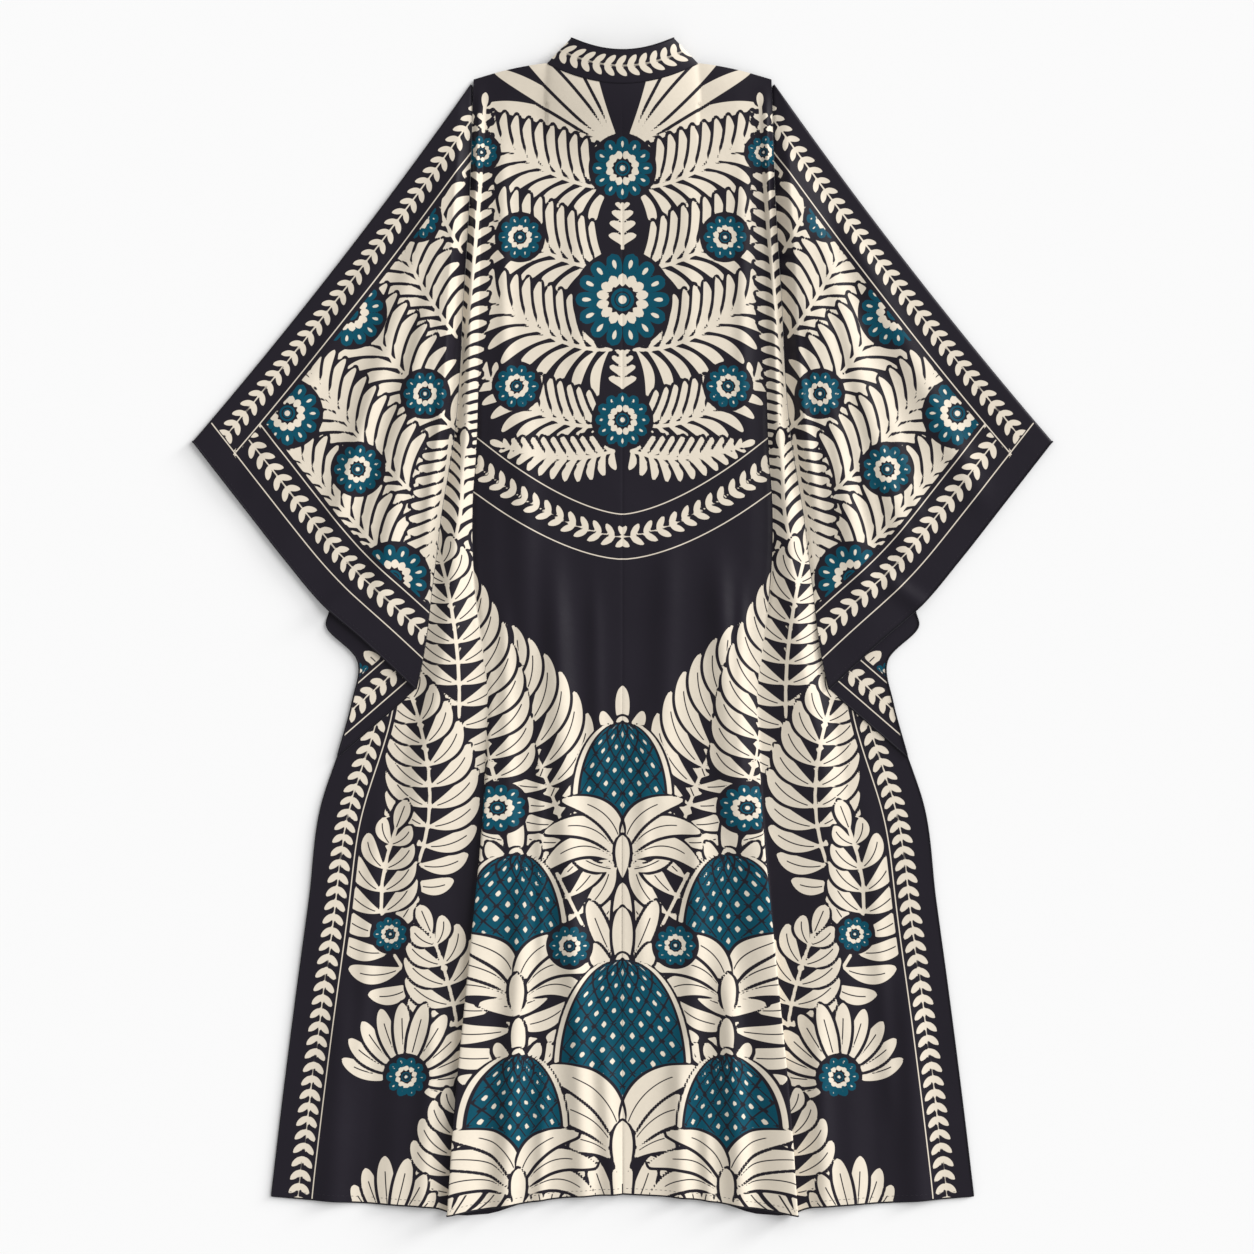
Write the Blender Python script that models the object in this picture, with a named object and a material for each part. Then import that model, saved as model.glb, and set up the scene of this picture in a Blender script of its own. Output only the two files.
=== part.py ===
"""Kimono robe with a stand collar, laid face down so that its back shows.

The robe lies on a flat surface at z = 0 with its collar towards +Y. The two fronts rest on the
surface, the two halves of the back lie on them, and each sleeve is one folded cloth whose fold
runs along the arm. Every piece is a thin wall of cloth. All sizes are millimetres until a mesh
is written, and every table describes the half at +X; the other half is its mirror image.
"""

import math

import bmesh
import bpy
import numpy as np

MM = 0.001

# Cloth and the clearances between its pieces.
CLOTH = 1.5
SEAM_GAP = 0.3
ARMHOLE_GAP = 0.5
UNDER_GAP = 1.0
SHOULDER_GAP = 0.9
FRONT_INSET = 1.0

# Collar: half widths and half heights of the flattened tube at its base and top, and its stand.
COLLAR_BASE_HALF = 95.0
COLLAR_TOP_HALF = 64.0
COLLAR_BASE_RISE = 12.0
COLLAR_TOP_RISE = 13.5
COLLAR_FRONT_GAP = 7.0
COLLAR_STAND = 40.0
COLLAR_SIDE_LOSS = 9.0
COLLAR_SEAM = 1.2

# Necklines: y at the centre, rise to the side of the neck, and the power of the scoop.
BACK_NECK = (676.0, 26.0, 2.0)
FRONT_NECK = (636.0, 66.0, 2.2)
NECK_BLEND = 120.0
SHOULDER_BLEND = 70.0

# Shoulder and sleeve.
NECK_SIDE_Y = 702.0
SHOULDER_TIP = (186.0, 683.0)
SHOULDER_SWELL = 2.5
SHOULDER_TIP_HEIGHT = 3.4
SLEEVE_TIP = (537.0, 231.0)
SLEEVE_LOFT = 6.0
SLEEVE_START = 0.012
OVERARM_HOLLOW = 7.0
FRONT_ARM_SHARE = 0.8
CUFF_REACH = 0.55
VALLEY_REACH = 26.0
OVERARM_SOFT = 40.0

# Where the sleeve's lower corner lies over the skirt.
LAP_LIFT = 8.6
CORNER_LIFT = 4.0
CLIMB_START_Y = 62.0
CLIMB_RUN = 90.0

# Body.
UNDERARM_Y = -78.0
CREASE_HEM_Y = -719.0
LAST_STRAIGHT_Y = -660.0
HEM_BAND_Y = -700.0
BACK_REST = 3.4
BACK_LOFT = 3.0
LOFT_FADE = 30.0

# Pleat beside the centre panel: its inner slope, crest and outer slope from the pleat's edge.
PLEAT_INNER = 46.0
PLEAT_CREST = 9.0
PLEAT_OUTER = 5.0
PLEAT_LEAN = 0.55

# Lines that run down one half of the back. Columns: y, x of the pleat edge beside the centre
# panel, x of the crest of the side roll, x of the armhole seam and the crease below it.
GUIDES = (
    (683, 168, 178, 186),
    (533, 175, 183, 191),
    (400, 178, 189, 199),
    (300, 180, 192, 204),
    (229, 182, 196, 211),
    (153, 187, 204, 224),
    (50, 184, 213, 237),
    (-42, 172, 222, 249),
    (-78, 167, 228, 257),
    (-127, 168, 238, 269),
    (-217, 171, 252, 286),
    (-350, 181, 262, 300),
    (-470, 191, 270, 309),
    (-600, 202, 279, 317),
    (-735, 210, 286, 324),
)

# Side edge of the skirt below the underarm. Columns: y, x.
SIDE_EDGE = (
    (-78, 330),
    (-130, 344),
    (-164, 356),
    (-217, 374),
    (-342, 391),
    (-467, 408),
    (-592, 424),
    (-735, 441),
)

# Lower edge of the back. Columns: x, y.
BACK_HEM = (
    (0, -708),
    (79, -713),
    (129, -720),
    (179, -728),
    (206, -734),
    (232, -726),
    (279, -722),
    (366, -717),
    (441, -711),
)

# Cuff edge of the sleeve's back layer, from the sleeve tip to the underarm. Columns: share, x, y.
BACK_CUFF = (
    (0, 537, 231),
    (0.22, 480, 158),
    (0.45, 421, 83),
    (0.61, 379, 33),
    (0.79, 322, -17),
    (1, 259, -76),
)

# Cuff edge of the sleeve's front layer, which swings out below the back layer. Columns: share, x, y.
FRONT_CUFF = (
    (0, 537, 231),
    (0.22, 480, 158),
    (0.45, 421, 83),
    (0.58, 381, 35),
    (0.64, 367, 22),
    (0.70, 370, 1),
    (0.80, 331, -42),
    (0.90, 338, -96),
    (1, 356, -163),
)

# Height of the side roll along the back. Columns: y, height.
ROLL_HEIGHT = (
    (683, 1.5),
    (600, 6),
    (450, 9),
    (229, 10),
    (114, 11),
    (-40, 13),
    (-127, 12),
    (-217, 9),
    (-350, 5.5),
    (-500, 4),
    (-735, 6),
)

# Height of the pleat whose edge overlaps the side of the skirt. Columns: y, height.
PLEAT_HEIGHT = (
    (683, 0),
    (400, 0),
    (60, 0),
    (-60, 1.5),
    (-150, 5),
    (-280, 9),
    (-420, 12),
    (-560, 14),
    (-735, 16),
)

# Shares at which rows cross the armhole seam, from the shoulder tip to the underarm.
ARM_SHARES = (0, 0.025, 0.07, 0.13, 0.2, 0.28, 0.36, 0.44, 0.52, 0.6, 0.68, 0.76, 0.83, 0.89, 0.93, 0.965, 1)
SKIRT_ROWS = 12

# Columns of a sleeve: share of the way from the fold along the arm to the armhole.
BACK_ACROSS = (0, 0.05, 0.12, 0.2, 0.28, 0.36, 0.45, 0.53, 0.61, 0.68, 0.74, 0.79, 0.84, 0.89, 0.93, 0.965, 1)
FRONT_ACROSS = (0, 0.11, 0.22, 0.34, 0.45, 0.52, 0.58, 0.61, 0.64, 0.67, 0.70, 0.75, 0.80, 0.85, 0.90, 1)
FOLD_ANGLES = (55, 15, -25, -60)

# Columns of the body: up to 1 the centre panel to the pleat's edge, 1 to 2 the inside of the roll,
# 2 to 3 its outside down to the armhole seam.
PANEL_SHARES = (0, 0.09, 0.18, 0.28, 0.38, 0.48, 0.58, 0.68, 0.76, 0.82, 0.87, 0.92, 0.96)
ROLL_SHARES = (1, 1.2, 1.5, 1.75, 2, 2.25, 2.5, 2.75, 3)
FRONT_SHARES = (0, 0.12, 0.24, 0.36, 0.47, 0.52, 0.7, 1, 2, 3)
BACK_FLANK_COLUMNS = 8
FRONT_FLANK_COLUMNS = 4
COLLAR_COLUMNS = 41
COLLAR_ROWS = 6

# Soft folds on the body. Columns: side of the seam, start x, start y, end x, end y, half width, height.
BODY_FOLDS = (
    (-1, 90, 150, 62, -430, 17, 6.5),
    (-1, 62, -330, 48, -733, 15, 7.0),
    (-1, 120, -260, 150, -760, 15, 7.5),
    (-1, 28, -480, 8, -760, 12, 5.0),
    (-1, 128, 330, 118, -60, 18, 3.5),
    (-1, 232, -430, 250, -760, 14, 5.0),
    (-1, 345, -420, 366, -760, 18, 4.0),
    (1, 118, 120, 138, -260, 16, 6.0),
    (1, 96, -180, 84, -560, 15, 5.0),
    (1, 128, -380, 150, -760, 15, 8.0),
    (1, 70, -500, 74, -760, 13, 6.0),
    (1, 60, 160, 46, -240, 18, 3.5),
    (1, 240, -420, 254, -760, 14, 5.0),
    (1, 352, -400, 372, -760, 18, 4.0),
)

# Soft folds on the sleeves, which spread from the shoulder. Columns as for the body.
SLEEVE_FOLDS = (
    (-1, 190, 640, 238, 130, 13, 9.0),
    (-1, 196, 640, 300, 60, 17, 8.0),
    (-1, 210, 610, 360, 130, 18, 6.5),
    (-1, 250, 560, 455, 190, 17, 4.0),
    (1, 190, 640, 236, 150, 13, 9.0),
    (1, 196, 640, 292, 80, 16, 8.5),
    (1, 210, 615, 350, 110, 18, 7.0),
    (1, 245, 560, 440, 170, 18, 4.5),
)

CLOTH_PRINT = (0.20, 0.19, 0.19)
CLOTH_DARK = (0.017, 0.015, 0.020)


def smooth(t):
    """Eases from 0 to 1."""
    t = np.clip(t, 0.0, 1.0)
    return t * t * (3 - 2 * t)


def through(table, at, column=1):
    """Smooth curve through one column of a table against its first column."""
    rows = np.array(sorted(table), float)
    xs, values = rows[:, 0], rows[:, column]
    slopes = np.gradient(values, xs)
    at = np.clip(np.asarray(at, float), xs[0], xs[-1])
    k = np.clip(np.searchsorted(xs, at) - 1, 0, len(xs) - 2)
    step = xs[k + 1] - xs[k]
    t = (at - xs[k]) / step
    return (
        values[k] * (1 + 2 * t) * (1 - t) ** 2
        + values[k + 1] * t * t * (3 - 2 * t)
        + slopes[k] * step * t * (1 - t) ** 2
        - slopes[k + 1] * step * t * t * (1 - t)
    )


def folds_at(rows, side, x, y):
    """Height that the soft folds of one side add at a point."""
    total = np.zeros(np.broadcast(x, y).shape)
    for fold_side, x0, y0, x1, y1, half_width, height in rows:
        if fold_side != side:
            continue
        length = math.hypot(x1 - x0, y1 - y0)
        dx, dy = (x1 - x0) / length, (y1 - y0) / length
        along = ((x - x0) * dx + (y - y0) * dy) / length
        across = (x - x0) * dy - (y - y0) * dx
        ends = smooth(along / 0.3) * smooth((1.12 - along) / 0.25)
        total = total + height * ends * np.exp(-((across / half_width) ** 2))
    return total


def neckline(neck, x):
    """Scooped neckline of the back or of the fronts."""
    centre, rise, power = neck
    return centre + rise * np.abs(x / COLLAR_BASE_HALF) ** power


def shoulder_run(x):
    """Share of the way from the side of the neck to the shoulder tip."""
    return np.clip((x - COLLAR_BASE_HALF) / (SHOULDER_TIP[0] - COLLAR_BASE_HALF), 0, 1)


def shoulder_y(x):
    """Shoulder edge from the side of the neck to the shoulder tip."""
    run = shoulder_run(x)
    return NECK_SIDE_Y + (SHOULDER_TIP[1] - NECK_SIDE_Y) * run + SHOULDER_SWELL * np.sin(math.pi * run)


def shoulder_height(x):
    """Height of the shoulder seam, from the collar down to the shoulder tip."""
    return COLLAR_BASE_RISE - (COLLAR_BASE_RISE - SHOULDER_TIP_HEIGHT) * smooth(shoulder_run(x))


def neck_rise(x):
    """Half the collar's height above or below its middle, at its base."""
    return COLLAR_BASE_RISE * np.sqrt(np.clip(1 - (x / (COLLAR_BASE_HALF + 0.5)) ** 2, 0, 1))


def back_height(side, x, y, top_y):
    """Height of the back's outer face over the surface."""
    edge, crest, seam = (through(GUIDES, y, c) for c in (1, 2, 3))
    roll_in = smooth((x - edge) / (crest - edge))
    roll_out = smooth((seam - x) / (seam - crest))
    z = BACK_REST + BACK_LOFT * smooth((edge - x) / LOFT_FADE)
    z = z + through(ROLL_HEIGHT, y) * np.where(x < crest, roll_in, roll_out)
    z = z + pleat_height(x, y) + folds_at(BODY_FOLDS, side, x, y)
    at_edge = np.where(
        x < COLLAR_BASE_HALF,
        COLLAR_BASE_RISE + neck_rise(x),
        shoulder_height(x) + CLOTH + SHOULDER_GAP / 2,
    )
    near = 1 - smooth((top_y - y) / np.where(x < COLLAR_BASE_HALF, NECK_BLEND, SHOULDER_BLEND))
    return z * (1 - near) + at_edge * near


def pleat_height(x, y):
    """Height of the pleat: a long slope up to its crest and a steep outer side."""
    edge = through(GUIDES, y, 1)
    rise_in = smooth((x - edge + PLEAT_INNER) / (PLEAT_INNER - PLEAT_CREST))
    fall_out = smooth((edge + PLEAT_OUTER - x) / (PLEAT_CREST + PLEAT_OUTER))
    return through(PLEAT_HEIGHT, y) * np.where(x < edge - PLEAT_CREST, rise_in, fall_out)


def add_grid(bm, points, flip, close_to=None):
    """Adds a sheet of quads over a grid of points and returns its vertices."""
    rows, columns = points.shape[:2]
    verts = [[bm.verts.new(points[i, j] * MM) for j in range(columns)] for i in range(rows)]
    if close_to is not None:
        for i in range(rows):
            verts[i][0] = close_to[i]
    for i in range(rows - 1):
        for j in range(columns - 1):
            loop = [verts[i][j], verts[i][j + 1], verts[i + 1][j + 1], verts[i + 1][j]]
            bm.faces.new(loop[::-1] if flip else loop)
    return verts


def cloth_wall(name, bm, material):
    """Turns a sheet into a closed wall of cloth, thickened away from its outer face."""
    loose = [v for v in bm.verts if not v.link_faces]
    bmesh.ops.delete(bm, geom=loose, context="VERTS")
    mesh = bpy.data.meshes.new(name)
    bm.to_mesh(mesh)
    bm.free()
    mesh.shade_smooth()
    mesh.materials.append(material)
    wall = bpy.data.objects.new(name, mesh)
    bpy.context.scene.collection.objects.link(wall)
    shell = wall.modifiers.new("wall", "SOLIDIFY")
    shell.thickness = CLOTH * MM
    shell.offset = -1.0
    shell.use_rim = True
    return wall


def body_levels():
    """Levels down the garment, as the y at which each one crosses the armhole seam or the crease."""
    arm = SHOULDER_TIP[1] + (UNDERARM_Y - SHOULDER_TIP[1]) * np.array(ARM_SHARES)
    skirt = np.linspace(UNDERARM_Y, LAST_STRAIGHT_Y, SKIRT_ROWS)[1:]
    return np.concatenate([arm, skirt, (HEM_BAND_Y, CREASE_HEM_Y)])


def level_y(x, top, level):
    """Height on the page of a level at each x: neckline shaped at the top, hem shaped at the foot."""
    down = (SHOULDER_TIP[1] - level) / (SHOULDER_TIP[1] - CREASE_HEM_Y)
    at_top = (top(x) - SHOULDER_TIP[1]) * (1 - down)
    return level + at_top + (through(BACK_HEM, x) - CREASE_HEM_Y) * down**4


def settle(columns, top, level):
    """Columns of x that follow the guide lines exactly where the level crosses them."""
    x = columns(np.full(1, float(level)))
    for _ in range(4):
        y = level_y(x, top, level)
        x = columns(y)
    return x, level_y(x, top, level)


def column_rule(shares):
    """Rule that places columns by share: to 1 the centre panel, to 2 and 3 the sides of the roll."""
    shares = np.asarray(shares, float)

    def place(y):
        edge, crest, seam = (through(GUIDES, y, c) for c in (1, 2, 3))
        centre = SEAM_GAP / 2 + (edge - SEAM_GAP / 2) * shares
        roll = edge + (crest - edge) * (shares - 1)
        outer = crest + (seam - crest) * (shares - 2)
        return np.where(shares <= 1, centre, np.where(shares <= 2, roll, outer))

    return place


def flank_rule(count, inset):
    """Rule that spreads columns evenly between the crease and the side edge of the skirt."""
    shares = np.linspace(0, 1, count)

    def place(y):
        seam = through(GUIDES, y, 3)
        return seam + (through(SIDE_EDGE, y) - inset - seam) * shares

    return place


def sheet_of_levels(bm, side, columns, flank, top, height):
    """Adds one half of the body as a sheet of levels, with the skirt's side below the underarm."""
    levels = body_levels()
    body, sides = [], []
    for level in levels:
        x, y = settle(columns, top, level)
        body.append(height(side, x, y))
        if level <= UNDERARM_Y:
            x, y = settle(flank, top, level)
            sides.append(height(side, x, y))
    verts = add_grid(bm, np.array(body), flip=side > 0)
    seam_verts = [row[-1] for row in verts[len(levels) - len(sides) :]]
    add_grid(bm, np.array(sides), flip=side > 0, close_to=seam_verts)


def back_top(x):
    """Upper edge of the back: neckline, then shoulder."""
    return np.where(x < COLLAR_BASE_HALF, neckline(BACK_NECK, x), shoulder_y(x))


def front_top(x):
    """Upper edge of a front: neckline, then shoulder."""
    return np.where(x < COLLAR_BASE_HALF, neckline(FRONT_NECK, x), shoulder_y(x))


def back_points(side, x, y):
    """Points of the back's outer face."""
    leaning = x + PLEAT_LEAN * pleat_height(x, y)
    return np.stack([side * leaning, y, back_height(side, x, y, back_top(x))], axis=-1)


def front_points(side, x, y):
    """Points of a front's upper face."""
    at_neck = COLLAR_BASE_RISE - neck_rise(x)
    at_shoulder = shoulder_height(x) - SHOULDER_GAP / 2 - CLOTH
    near = 1 - smooth((front_top(x) - y) / SHOULDER_BLEND)
    lift = np.where(x < COLLAR_BASE_HALF, at_neck, at_shoulder) * near
    return np.stack([side * x, y, CLOTH + lift], axis=-1)


def back_half(side, material):
    """One half of the back: body, and below the underarm also the side of the skirt."""
    bm = bmesh.new()
    columns = column_rule(PANEL_SHARES + ROLL_SHARES)
    sheet_of_levels(bm, side, columns, flank_rule(BACK_FLANK_COLUMNS, 0), back_top, back_points)
    return cloth_wall("back_left" if side < 0 else "back_right", bm, material)


def front_half(side, material):
    """One front, flat on the surface, rising only where it meets the collar and the shoulder."""
    bm = bmesh.new()
    flank = flank_rule(FRONT_FLANK_COLUMNS, FRONT_INSET)
    sheet_of_levels(bm, side, column_rule(FRONT_SHARES), flank, front_top, front_points)
    return cloth_wall("front_left" if side < 0 else "front_right", bm, material)


def sleeve_climb(y):
    """Share of the height by which the sleeve's lower corner lies over the skirt."""
    return smooth((CLIMB_START_Y - y) / CLIMB_RUN)


def arm_direction():
    """Unit directions along the arm and outward across its fold."""
    along = np.array(SLEEVE_TIP) - np.array(SHOULDER_TIP)
    along = along / np.hypot(*along)
    return along, np.array([-along[1], along[0]])


def overarm(share):
    """Centre of the fold along the arm, from the shoulder tip to the sleeve tip, slightly hollow."""
    outward = arm_direction()[1]
    tip, end = np.array(SHOULDER_TIP), np.array(SLEEVE_TIP)
    hollow = OVERARM_HOLLOW * 4 * share * (1 - share)
    return tip + (end - tip) * share - outward * (hollow + SLEEVE_LOFT / 2)


def armhole(share, gap):
    """Point of the sleeve's seam with the body, from the shoulder tip to the underarm."""
    y = SHOULDER_TIP[1] + (UNDERARM_Y - SHOULDER_TIP[1]) * share
    return np.array([float(through(GUIDES, y, 3)) + gap, y])


def front_inner(share):
    """Inner edge of a sleeve's front layer: down the armhole, then along the corner over the skirt."""
    if share < FRONT_ARM_SHARE:
        return armhole(share / FRONT_ARM_SHARE, UNDER_GAP)
    late = smooth((share - FRONT_ARM_SHARE) / (1 - FRONT_ARM_SHARE))
    start = armhole(1, UNDER_GAP)
    return start + (np.array(FRONT_CUFF[-1][1:], float) - start) * late


def sleeve_row(share, across, cuff, inner):
    """Plan of one row of a sleeve layer, from the fold along the arm to its inner edge."""
    row = overarm(share) + (inner - overarm(share)) * across[:, None]
    hem = np.stack([through(cuff, across, 1), through(cuff, across, 2)], axis=-1)
    tip, end = np.array(cuff[0][1:], float), np.array(cuff[-1][1:], float)
    chord = tip + (end - tip) * across[:, None]
    return row + (hem - chord) * smooth((share - CUFF_REACH) / (1 - CUFF_REACH))


def sleeve_back(side, share, across):
    """Points across a sleeve's back layer, which ends at the height of the body in the valley."""
    inner = armhole(share, ARMHOLE_GAP)
    plan = sleeve_row(share, across, BACK_CUFF, inner)
    x, y = plan[:, 0], plan[:, 1]
    rise = smooth(np.hypot(*(plan - inner).T) / VALLEY_REACH)
    from_fold = np.hypot(*(plan - overarm(share)).T)
    folds = folds_at(SLEEVE_FOLDS, side, x, y) * smooth(from_fold / OVERARM_SOFT) * rise
    loft = sleeve_loft(share)
    valley = BACK_REST + (LAP_LIFT - BACK_REST) * sleeve_climb(y)
    z = valley + (loft + (LAP_LIFT - SLEEVE_LOFT) * sleeve_climb(y) - valley) * rise + folds
    return np.stack([x, y, z], axis=-1)


def sleeve_loft(share):
    """Height of the fold along the arm, which rises from the shoulder tip."""
    return SLEEVE_LOFT * min(1.0, 0.7 + 4 * share)


def sleeve_turn(share):
    """Points round the fold along the arm, from the back layer under to the front layer."""
    outward = arm_direction()[1]
    loft = sleeve_loft(share)
    points = []
    for angle in FOLD_ANGLES:
        reach = math.cos(math.radians(angle)) * SLEEVE_LOFT / 2
        height = loft / 2 * (1 + math.sin(math.radians(angle)))
        points.append([*(overarm(share) + outward * reach), height])
    return np.array(points)


def sleeve_front(share, across):
    """Points across a sleeve's front layer, flat on the surface, its corner lifted over the skirt."""
    plan = sleeve_row(share, across, FRONT_CUFF, front_inner(share))
    return np.column_stack([plan, CORNER_LIFT * sleeve_climb(plan[:, 1])])


def sleeve(side, material):
    """One sleeve: a cloth folded along the arm, its back layer over its front layer."""
    rows = []
    for share in (SLEEVE_START, *ARM_SHARES[1:]):
        back = sleeve_back(side, share, np.array(BACK_ACROSS[::-1]))
        ring = np.concatenate([back, sleeve_turn(share), sleeve_front(share, np.array(FRONT_ACROSS))])
        ring[:, 0] *= side
        rows.append(ring)
    bm = bmesh.new()
    add_grid(bm, np.array(rows), flip=side > 0)
    return cloth_wall("sleeve_left" if side < 0 else "sleeve_right", bm, material)


def collar(material):
    """Stand collar: a band that rounds away at both sides and ends at the centre front."""
    end = math.pi - math.asin(COLLAR_FRONT_GAP / COLLAR_BASE_HALF)
    turns = np.linspace(-end, end, COLLAR_COLUMNS)
    rows = []
    for share in np.linspace(0, 1, COLLAR_ROWS):
        half = COLLAR_BASE_HALF + (COLLAR_TOP_HALF - COLLAR_BASE_HALF) * share
        rise = COLLAR_BASE_RISE + (COLLAR_TOP_RISE - COLLAR_BASE_RISE) * share
        at_base = COLLAR_BASE_HALF * np.sin(turns)
        stand = (COLLAR_STAND - COLLAR_SIDE_LOSS * np.sin(turns) ** 2) * share
        neck = np.where(np.cos(turns) >= 0, neckline(BACK_NECK, at_base), neckline(FRONT_NECK, at_base))
        z = rise + rise * np.cos(turns)
        rows.append(np.stack([half * np.sin(turns), neck + COLLAR_SEAM + stand, z], axis=-1))
    bm = bmesh.new()
    add_grid(bm, np.array(rows), flip=False)
    return cloth_wall("collar", bm, material)


def make_material(name, colour, roughness):
    """A cloth finish."""
    material = bpy.data.materials.new(name)
    material.use_nodes = True
    shader = material.node_tree.nodes["Principled BSDF"]
    shader.inputs["Base Color"].default_value = (*colour, 1)
    shader.inputs["Roughness"].default_value = roughness
    shader.inputs["Metallic"].default_value = 0.0
    return material


def main():
    for old in list(bpy.data.objects):
        bpy.data.objects.remove(old)
    printed = make_material("printed silk", CLOTH_PRINT, 0.45)
    dark = make_material("dark silk", CLOTH_DARK, 0.45)
    for side in (-1, 1):
        back_half(side, printed)
        front_half(side, printed)
        sleeve(side, printed)
    collar(dark)


main()
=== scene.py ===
"""Looks of a printed silk robe that lies flat with its back upward.

The robe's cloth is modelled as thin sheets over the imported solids: two halves of the back, two
fronts, two sleeves folded along the arm, and a stand collar. A page of printed motifs is drawn
by formula for each kind of piece, and every point of the cloth carries its distances to the
printed shapes, which the silk's material turns into crisp colour. Sizes are millimetres until
a mesh is written; tables describe the half at +X and the other half is its mirror image.
"""

from __future__ import annotations

import logging
import math
from collections.abc import Callable
from dataclasses import dataclass, field
from enum import Enum

import bmesh
import bpy
import numpy as np
from mathutils import Matrix, Vector

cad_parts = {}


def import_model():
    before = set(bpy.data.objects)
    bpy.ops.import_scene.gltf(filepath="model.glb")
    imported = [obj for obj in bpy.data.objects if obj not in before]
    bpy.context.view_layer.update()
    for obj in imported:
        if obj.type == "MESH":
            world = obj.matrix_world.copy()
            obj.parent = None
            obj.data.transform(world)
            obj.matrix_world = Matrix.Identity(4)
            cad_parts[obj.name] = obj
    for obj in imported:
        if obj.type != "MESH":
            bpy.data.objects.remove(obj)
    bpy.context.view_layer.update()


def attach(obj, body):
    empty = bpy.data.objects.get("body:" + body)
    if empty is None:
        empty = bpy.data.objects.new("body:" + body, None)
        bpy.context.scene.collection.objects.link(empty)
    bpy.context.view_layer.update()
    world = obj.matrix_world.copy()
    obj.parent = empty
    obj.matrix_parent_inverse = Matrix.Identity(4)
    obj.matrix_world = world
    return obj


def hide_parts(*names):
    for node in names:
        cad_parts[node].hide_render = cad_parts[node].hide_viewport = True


LOG = logging.getLogger("robe")
MM = 0.001
FAR = 6.0
PRINT_JUMP = 60.0
NECK_RISE = 12.0
NECK_HALF = 95.5
LEAF_GAP = 4.0
WHOLE = (slice(None), slice(None))

Array = np.ndarray
Point = tuple[float, float]
Part = tuple[slice, slice]
Rule = Callable[[Array, Array], Array]
Socket = bpy.types.NodeSocket
Tint = Socket | tuple[float, ...]


class Side(Enum):
    """Half of the garment, as seen from above with the collar at the top."""

    LEFT = -1
    RIGHT = 1

    @property
    def word(self) -> str:
        """Return the word that ends the names of this side's pieces."""
        return self.name.lower()


class Ink(Enum):
    """Distance fields of the print, which are the names of the mesh attributes too."""

    CREAM = "cream"
    TEAL = "teal"
    LIGHT = "light"
    VEIN = "vein"
    VEIN_FAR = "vein_far"
    LINE = "line"
    LINE_FAR = "line_far"

    @property
    def blank(self) -> float:
        """Return the value of bare ground: outside a filled shape, or far from a line."""
        return -FAR if self in (Ink.CREAM, Ink.TEAL, Ink.LIGHT) else FAR


def smooth(t: Array | float) -> Array:
    """Ease from 0 to 1.

    Args:
        t: Shares, which are clipped to 0 and 1.

    Returns:
        The eased shares.
    """
    t = np.clip(t, 0.0, 1.0)
    return t * t * (3 - 2 * t)


@dataclass(frozen=True)
class Table:
    """Smooth curves through the columns of a short table, read against its first column."""

    rows: tuple[tuple[float, ...], ...]

    def at(self, where: Array | float, column: int = 1) -> Array:
        """Read one column.

        Args:
            where: Values of the first column.
            column: The column to read.

        Returns:
            The column's values there, held at the table's ends.
        """
        rows = np.array(sorted(self.rows), float)
        xs, values = rows[:, 0], rows[:, column]
        slopes = np.gradient(values, xs)
        where = np.clip(np.asarray(where, float), xs[0], xs[-1])
        k = np.clip(np.searchsorted(xs, where) - 1, 0, len(xs) - 2)
        step = xs[k + 1] - xs[k]
        t = (where - xs[k]) / step
        ends = values[k] * (1 + 2 * t) * (1 - t) ** 2 + values[k + 1] * t * t * (3 - 2 * t)
        return ends + slopes[k] * step * t * (1 - t) ** 2 - slopes[k + 1] * step * t * t * (1 - t)


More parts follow.
